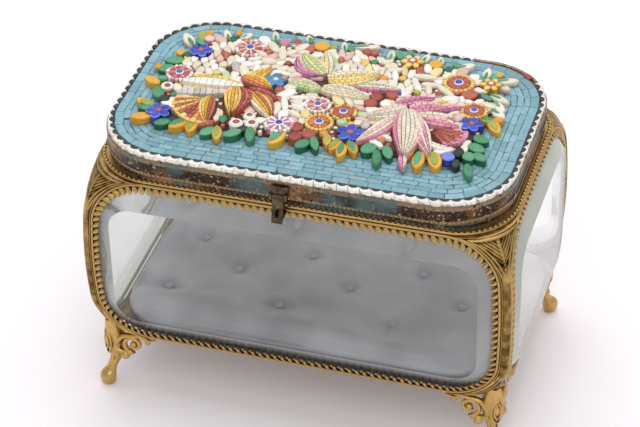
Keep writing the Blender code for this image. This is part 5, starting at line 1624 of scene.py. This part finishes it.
foot_shape = foot_heap()
for word, flip_x, flip_y in CORNERS:
    shape = foot_shape.mirrored(flip_x, flip_y)
    name = f"scroll_foot_{word}"
    shape.make(name, [cast], "casket", [f"foot_{word}"], "gilt_brass", sharp=50.0, wear=10)

# %% [markdown]
# ## The silk pad
# A pad of grey silk fills the floor, tufted by small covered buttons. Cloth simulation gives the
# fullness between the tufts that no formula quite has: the slab is remeshed, held at its floor and
# at the buttons, and blown up a little by pressure. The dimple and the pleats round each button, the
# rolled rim and a long soft fold along the front come afterwards, as plain sums of bell curves and
# cosines. Silk is smooth, with a wide sheen. The ribs of its moire are drawn two millimetres apart,
# wider than real ones, so that they just show.

# %% Pad
PAD_HALF_W, PAD_HALF_D, PAD_R = 66.0, 35.8, 15.5
PAD_LOW, PAD_TOP = 25.9, 32.2
TUFT_PITCH = 40.5
TUFT_ROWS = ((-13.5, -14.5), (7.5, 0.5), (-10.0, 14.5), (7.5, 28.0))
BUTTONS = np.array([(x + step * TUFT_PITCH, y) for x, y in TUFT_ROWS for step in (-1, 0, 1)])
BUTTON_Z, BUTTON_R = 29.3, 1.5
RIB_PITCH = 2.171

silk, silk_tree, silk_shader = new_finish("grey_moire_silk", 0.38, Sheen_Weight=0.35, Sheen_Roughness=0.4)
silk_place = add(silk_tree, "TexCoord").outputs["Object"]

# A wave texture draws one band for each pi / 10 of its scaled coordinate
silk_bands = [("Vector", silk_place), ("Scale", math.pi / 10 / MM / RIB_PITCH), ("Distortion", 5.0)]
silk_bands += [("Detail", 2.0), ("Detail Scale", 0.25)]
silk_wave = add(silk_tree, "TexWave", wave_type="BANDS", bands_direction="Y", inputs=silk_bands)
silk_wave = silk_wave.outputs["Fac"]
silk_parts = [(0, silk_wave), (1, 0.03), (2, noise(silk_tree, 30.0, detail=2.0))]
silk_mixed = add(silk_tree, "Math", operation="MULTIPLY_ADD", inputs=silk_parts).outputs[0]
silk_colour = blend_colours(silk_tree, spread(silk_tree, silk_mixed, 0.36, 0.9), "#94949c", "#d0d0d8")
# Painted shade: from 2.2 to 4.2 mm under the pad's top the silk darkens to #54545b, on its sides, rolled
# rim and deep dimples.
silk_painted_shade = spread(silk_tree, height_mm(silk_tree), PAD_TOP - 2.2, PAD_TOP - 4.2)
silk_colour = blend_colours(silk_tree, silk_painted_shade, silk_colour, "#54545b")
silk_tree.links.new(silk_colour, silk_shader.inputs["Base Color"])
bump(silk_tree, silk_shader, silk_wave, 0.02, 0.15)
button_silk = mottled("covered_button_silk", 0.42, 1.0, "#848d9c", "#a3abb9", Sheen_Weight=0.3)


def pad_slab():
    """The pad before it is stuffed: a rounded slab."""
    heap = Heap()
    levels = ((1.2, PAD_LOW), (0.0, PAD_LOW + 1.2), (0.0, PAD_TOP - 1.6), (1.6, PAD_TOP))
    rings = []
    for inset, z in levels:
        place, _, _ = walk(PAD_HALF_W - inset, PAD_HALF_D - inset, PAD_R - inset, 120)
        rings.append(np.column_stack([place, np.full(120, z)]))
    heap.stack(np.stack(rings)[None])
    return heap.make("tufted_silk_pad", [silk], "casket", ["silk_pad"], "grey_silk", sharp=180.0)


def apply_all(obj):
    """Keeps the mesh as its modifiers show it, and removes them."""
    graph = bpy.context.evaluated_depsgraph_get()
    kept = bpy.data.meshes.new_from_object(obj.evaluated_get(graph))
    obj.modifiers.clear()
    obj.data = kept


# %% Stuffing and tufts
PRESSURE, FRAMES, CAP = 4.0, 20, 2.2


def blow_up(pad, start):
    """Runs the cloth, and gives back the points, none of them moved by more than CAP."""
    cloth = pad.modifiers.new("cloth", "CLOTH")
    cloth.settings.use_pressure = True
    cloth.settings.uniform_pressure_force = PRESSURE
    cloth.settings.effector_weights.gravity = 0.0
    cloth.settings.vertex_group_mass = "held"
    cloth.point_cache.frame_start, cloth.point_cache.frame_end = 1, FRAMES
    for step in range(1, FRAMES + 1):
        bpy.context.scene.frame_set(step)
    apply_all(pad)
    bpy.context.scene.frame_set(1)
    moved = read(pad.data.vertices, "co") - start
    far = np.linalg.norm(moved, axis=1, keepdims=True)
    print("pad swelled by up to", round(float(far.max()) / MM, 2), "mm, kept to", CAP)
    return start + moved * np.minimum(1.0, CAP * MM / np.maximum(far, 1e-9))


def stuff_pad(pad):
    """Remesh, hold floor and tufts, blow up, pucker round the tufts, subdivide."""
    remesh = pad.modifiers.new("remesh", "REMESH")
    remesh.mode = "VOXEL"
    remesh.voxel_size = 2.0 * MM
    apply_all(pad)
    start = read(pad.data.vertices, "co")
    gap = np.linalg.norm(start[:, None, :2] / MM - BUTTONS[None], axis=2).min(1)
    top = start[:, 2] > (PAD_TOP - 1.0) * MM
    held = (top & (gap < BUTTON_R)) | (start[:, 2] < (PAD_LOW + 1.2) * MM)
    group = pad.vertex_groups.new(name="held")
    group.add(np.flatnonzero(held).tolist(), 1.0, "REPLACE")
    place = blow_up(pad, start)
    pad.data.vertices.foreach_set("co", pucker(place).ravel())
    finer = pad.modifiers.new("finer", "SUBSURF")
    finer.levels = finer.render_levels = 1
    apply_all(pad)
    pad.vertex_groups.clear()
    pad.data.shade_smooth()


ROLL_WIDE, ROLL_DEEP = 9.0, 2.2
FOLD_Y, FOLD_WIDE, FOLD_PITCH, FOLD_HIGH = -25.0, 12.0, 20.0, 1.1


def pucker(place):
    """Tufts, rim and fold of the upper face, as changes of its height in mm.

    At the distance d from a button it sinks by exp(-d^2 / 6) + 2.8 exp(-(d / 12)^2), and 5 mm away it
    is pleated by 0.3 cos(5 angle). Within ROLL_WIDE of the rim it falls by ROLL_DEEP share^1.5. The
    fold is FOLD_HIGH cos(2 pi y / FOLD_PITCH) under a bell curve at FOLD_Y, on a line that wanders.
    """
    x, y = place[:, :2].T / MM
    away = place[:, None, :2] / MM - BUTTONS[None]
    d = np.linalg.norm(away, axis=2)
    nearest = d.argmin(1)
    d, way = d[np.arange(len(d)), nearest], away[np.arange(len(d)), nearest]
    angle = np.arctan2(way[:, 1], way[:, 0])
    up = np.clip((place[:, 2] / MM - (PAD_TOP - 2.0)) / 1.5, 0, 1)
    sink = np.exp(-(d**2) / 6.0) + 2.8 * np.exp(-((d / 12.0) ** 2))
    pleat = 0.3 * np.exp(-(((d - 5.0) / 4.0) ** 2)) * np.cos(5 * angle + nearest)
    to_rim = np.minimum(PAD_HALF_W - np.abs(x), PAD_HALF_D - np.abs(y))
    roll = ROLL_DEEP * np.clip(1 - to_rim / ROLL_WIDE, 0, 1.3) ** 1.5
    line = y + 0.06 * x + 27.0 + 2.0 * np.sin(x / 21.0)
    bell = np.exp(-(((y - FOLD_Y) / FOLD_WIDE) ** 2))
    fold = FOLD_HIGH * bell * np.cos(2 * math.pi * line / FOLD_PITCH)
    place[:, 2] -= up * (sink + pleat + roll - fold) * MM
    return place


pad = pad_slab()
stuff_pad(pad)

buttons = Heap()
button_places = np.column_stack([BUTTONS, np.full(len(BUTTONS), BUTTON_Z)])
ball(buttons, button_places, BUTTON_R, sides=12, rows=6, squash=(1, 1, 0.5))
buttons.make("pad_buttons", [button_silk], "casket", slot="grey_silk")

# %% [markdown]
# ## Rim, base, hinge and clasp
# What is left is plain brass work. The rim and the floor plate are swept and filled like the lid's
# parts. The hinge, the clasp and its catch keep their solids: their shape is right, and they only
# need a finish, brown old brass for the hinge and a nearly black one for the clasp.

# %% Small brass work
# Sections as (outward, z): the rim's wall from its foot over the top and down inside, then its flange
RIM_SECTION = (
    *((0.0, 91.4), (-0.25, 92.1), (-0.3, 93.2), (-0.1, 93.6), (-0.1, 94.3), (-0.6, 94.9)),
    *((-1.0, 95.1), (-2.1, 95.1), (-2.2, 94.9), (-2.2, 91.0), (0.0, 90.9)),
)
FLANGE_SECTION = ((0.0, 90.95), (0.0, 91.3), (-0.2, 91.5), (-3.2, 91.6), (-3.2, 90.85), (-0.2, 90.8))
RIM_BEAD_PITCH, RIM_BEAD_Z, RIM_BEAD_R = 1.9, 91.65, 0.62


def top_rim():
    """A flange over frames and corners, a row of small beads on its edge, and the wall above it."""
    heap = Heap()
    place, normal, _ = walk(69.6, 40.4, 21.5, 360)
    sweep(heap, place, normal, RIM_SECTION)
    place, normal, whole = walk(71.35, 41.15, 19.7, 360)
    sweep(heap, place, normal, FLANGE_SECTION, 1)
    count = round(whole / RIM_BEAD_PITCH)
    place, _, _ = walk(70.75, 40.55, 19.3, count)
    centres = np.column_stack([place, np.full(count, RIM_BEAD_Z)])
    ball(heap, centres, RIM_BEAD_R, finish=1, squash=(1.0, 1.0, 0.8))
    heap.make("rim_band", [band_brass, gilt], "casket", ["top_rim"], "tarnished_brass", wear=5)


def floor_plate():
    """A plain sheet of brass under the pad, a millimetre thick."""
    heap = Heap()
    place, _, _ = walk(68.5, 38.3, 17.0, 200)
    slab(heap, place, 24.4, 25.4, soften=0.15)
    heap.make("floor_plate", [gilt], "casket", ["base_plate"], "gilt_brass")


top_rim()
floor_plate()
old_brass = brass("old_hinge_brass", ("#241a12", "#5a4630", "#927044"), 0.4, shine=0.1)
dark_brass = brass("blackened_clasp_brass", ("#1a1614", "#453a30", "#7d6c58"), 0.42, shine=0.1)
for word in ("hinge_lower", "hinge_upper", "clasp_mount", "clasp_tab", "clasp_catch"):
    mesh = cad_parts[word].data
    mesh.materials.clear()
    mesh.materials.append(old_brass if word.startswith("hinge") else dark_brass)
    print(f"{word}: kept, with {mesh.materials[0].name}")

# %% [markdown]
# ## Floor and light
# The box stands on a white sheet in a light tent. One large soft lamp hangs above and a little
# behind, so that the shadow falls to the front, and a weaker one in front fills it. The tent is an
# even white surround. The sheet has a faint painted glow, though it is no lamp, which lifts the shadow.

# %% Stage
TENT, PAINTED_GLOW = 0.6, 0.09
AIM = Vector((0.0, 0.0, 0.06))

# Lamps as name, place in metres, size in metres and watts
LAMPS = (
    ("overhead", (-0.05, 0.45, 1.4), (1.3, 1.3), 11.0),
    ("front_fill", (0.25, -0.9, 1.1), (1.2, 0.9), 4.0),
)


def stage():
    """Paper, tent and lamps. A lamp shines along its own -Z, so its +Z points away from the box."""
    # The sheet's faint emission is a painted glow, no lamp: it lifts the shadow round the box.
    painted_glow = {"Emission_Color": linear("#f8f2f4"), "Emission_Strength": PAINTED_GLOW}
    paper = mottled("white_paper_sweep", 0.9, 400.0, "#f5eff4", "#faf6fa", **painted_glow)
    bpy.ops.mesh.primitive_plane_add(size=8.0)
    floor = bpy.context.object
    floor.name = "paper_sweep"
    floor.data.materials.append(paper)
    world = bpy.data.worlds.new("light_tent")
    world.use_nodes = True
    surround = world.node_tree.nodes["Background"]
    surround.inputs[0].default_value = (1.0, 1.0, 1.0, 1.0)
    surround.inputs[1].default_value = TENT
    bpy.context.scene.world = world
    for name, place, size, power in LAMPS:
        lamp = bpy.data.lights.new(name, "AREA")
        lamp.shape, lamp.size, lamp.size_y, lamp.energy = "RECTANGLE", *size, power
        obj = bpy.data.objects.new(name, lamp)
        obj.location = place
        obj.rotation_euler = (Vector(place) - AIM).to_track_quat("Z", "Y").to_euler()
        bpy.context.scene.collection.objects.link(obj)


stage()
bpy.context.scene.view_settings.view_transform = "Standard"
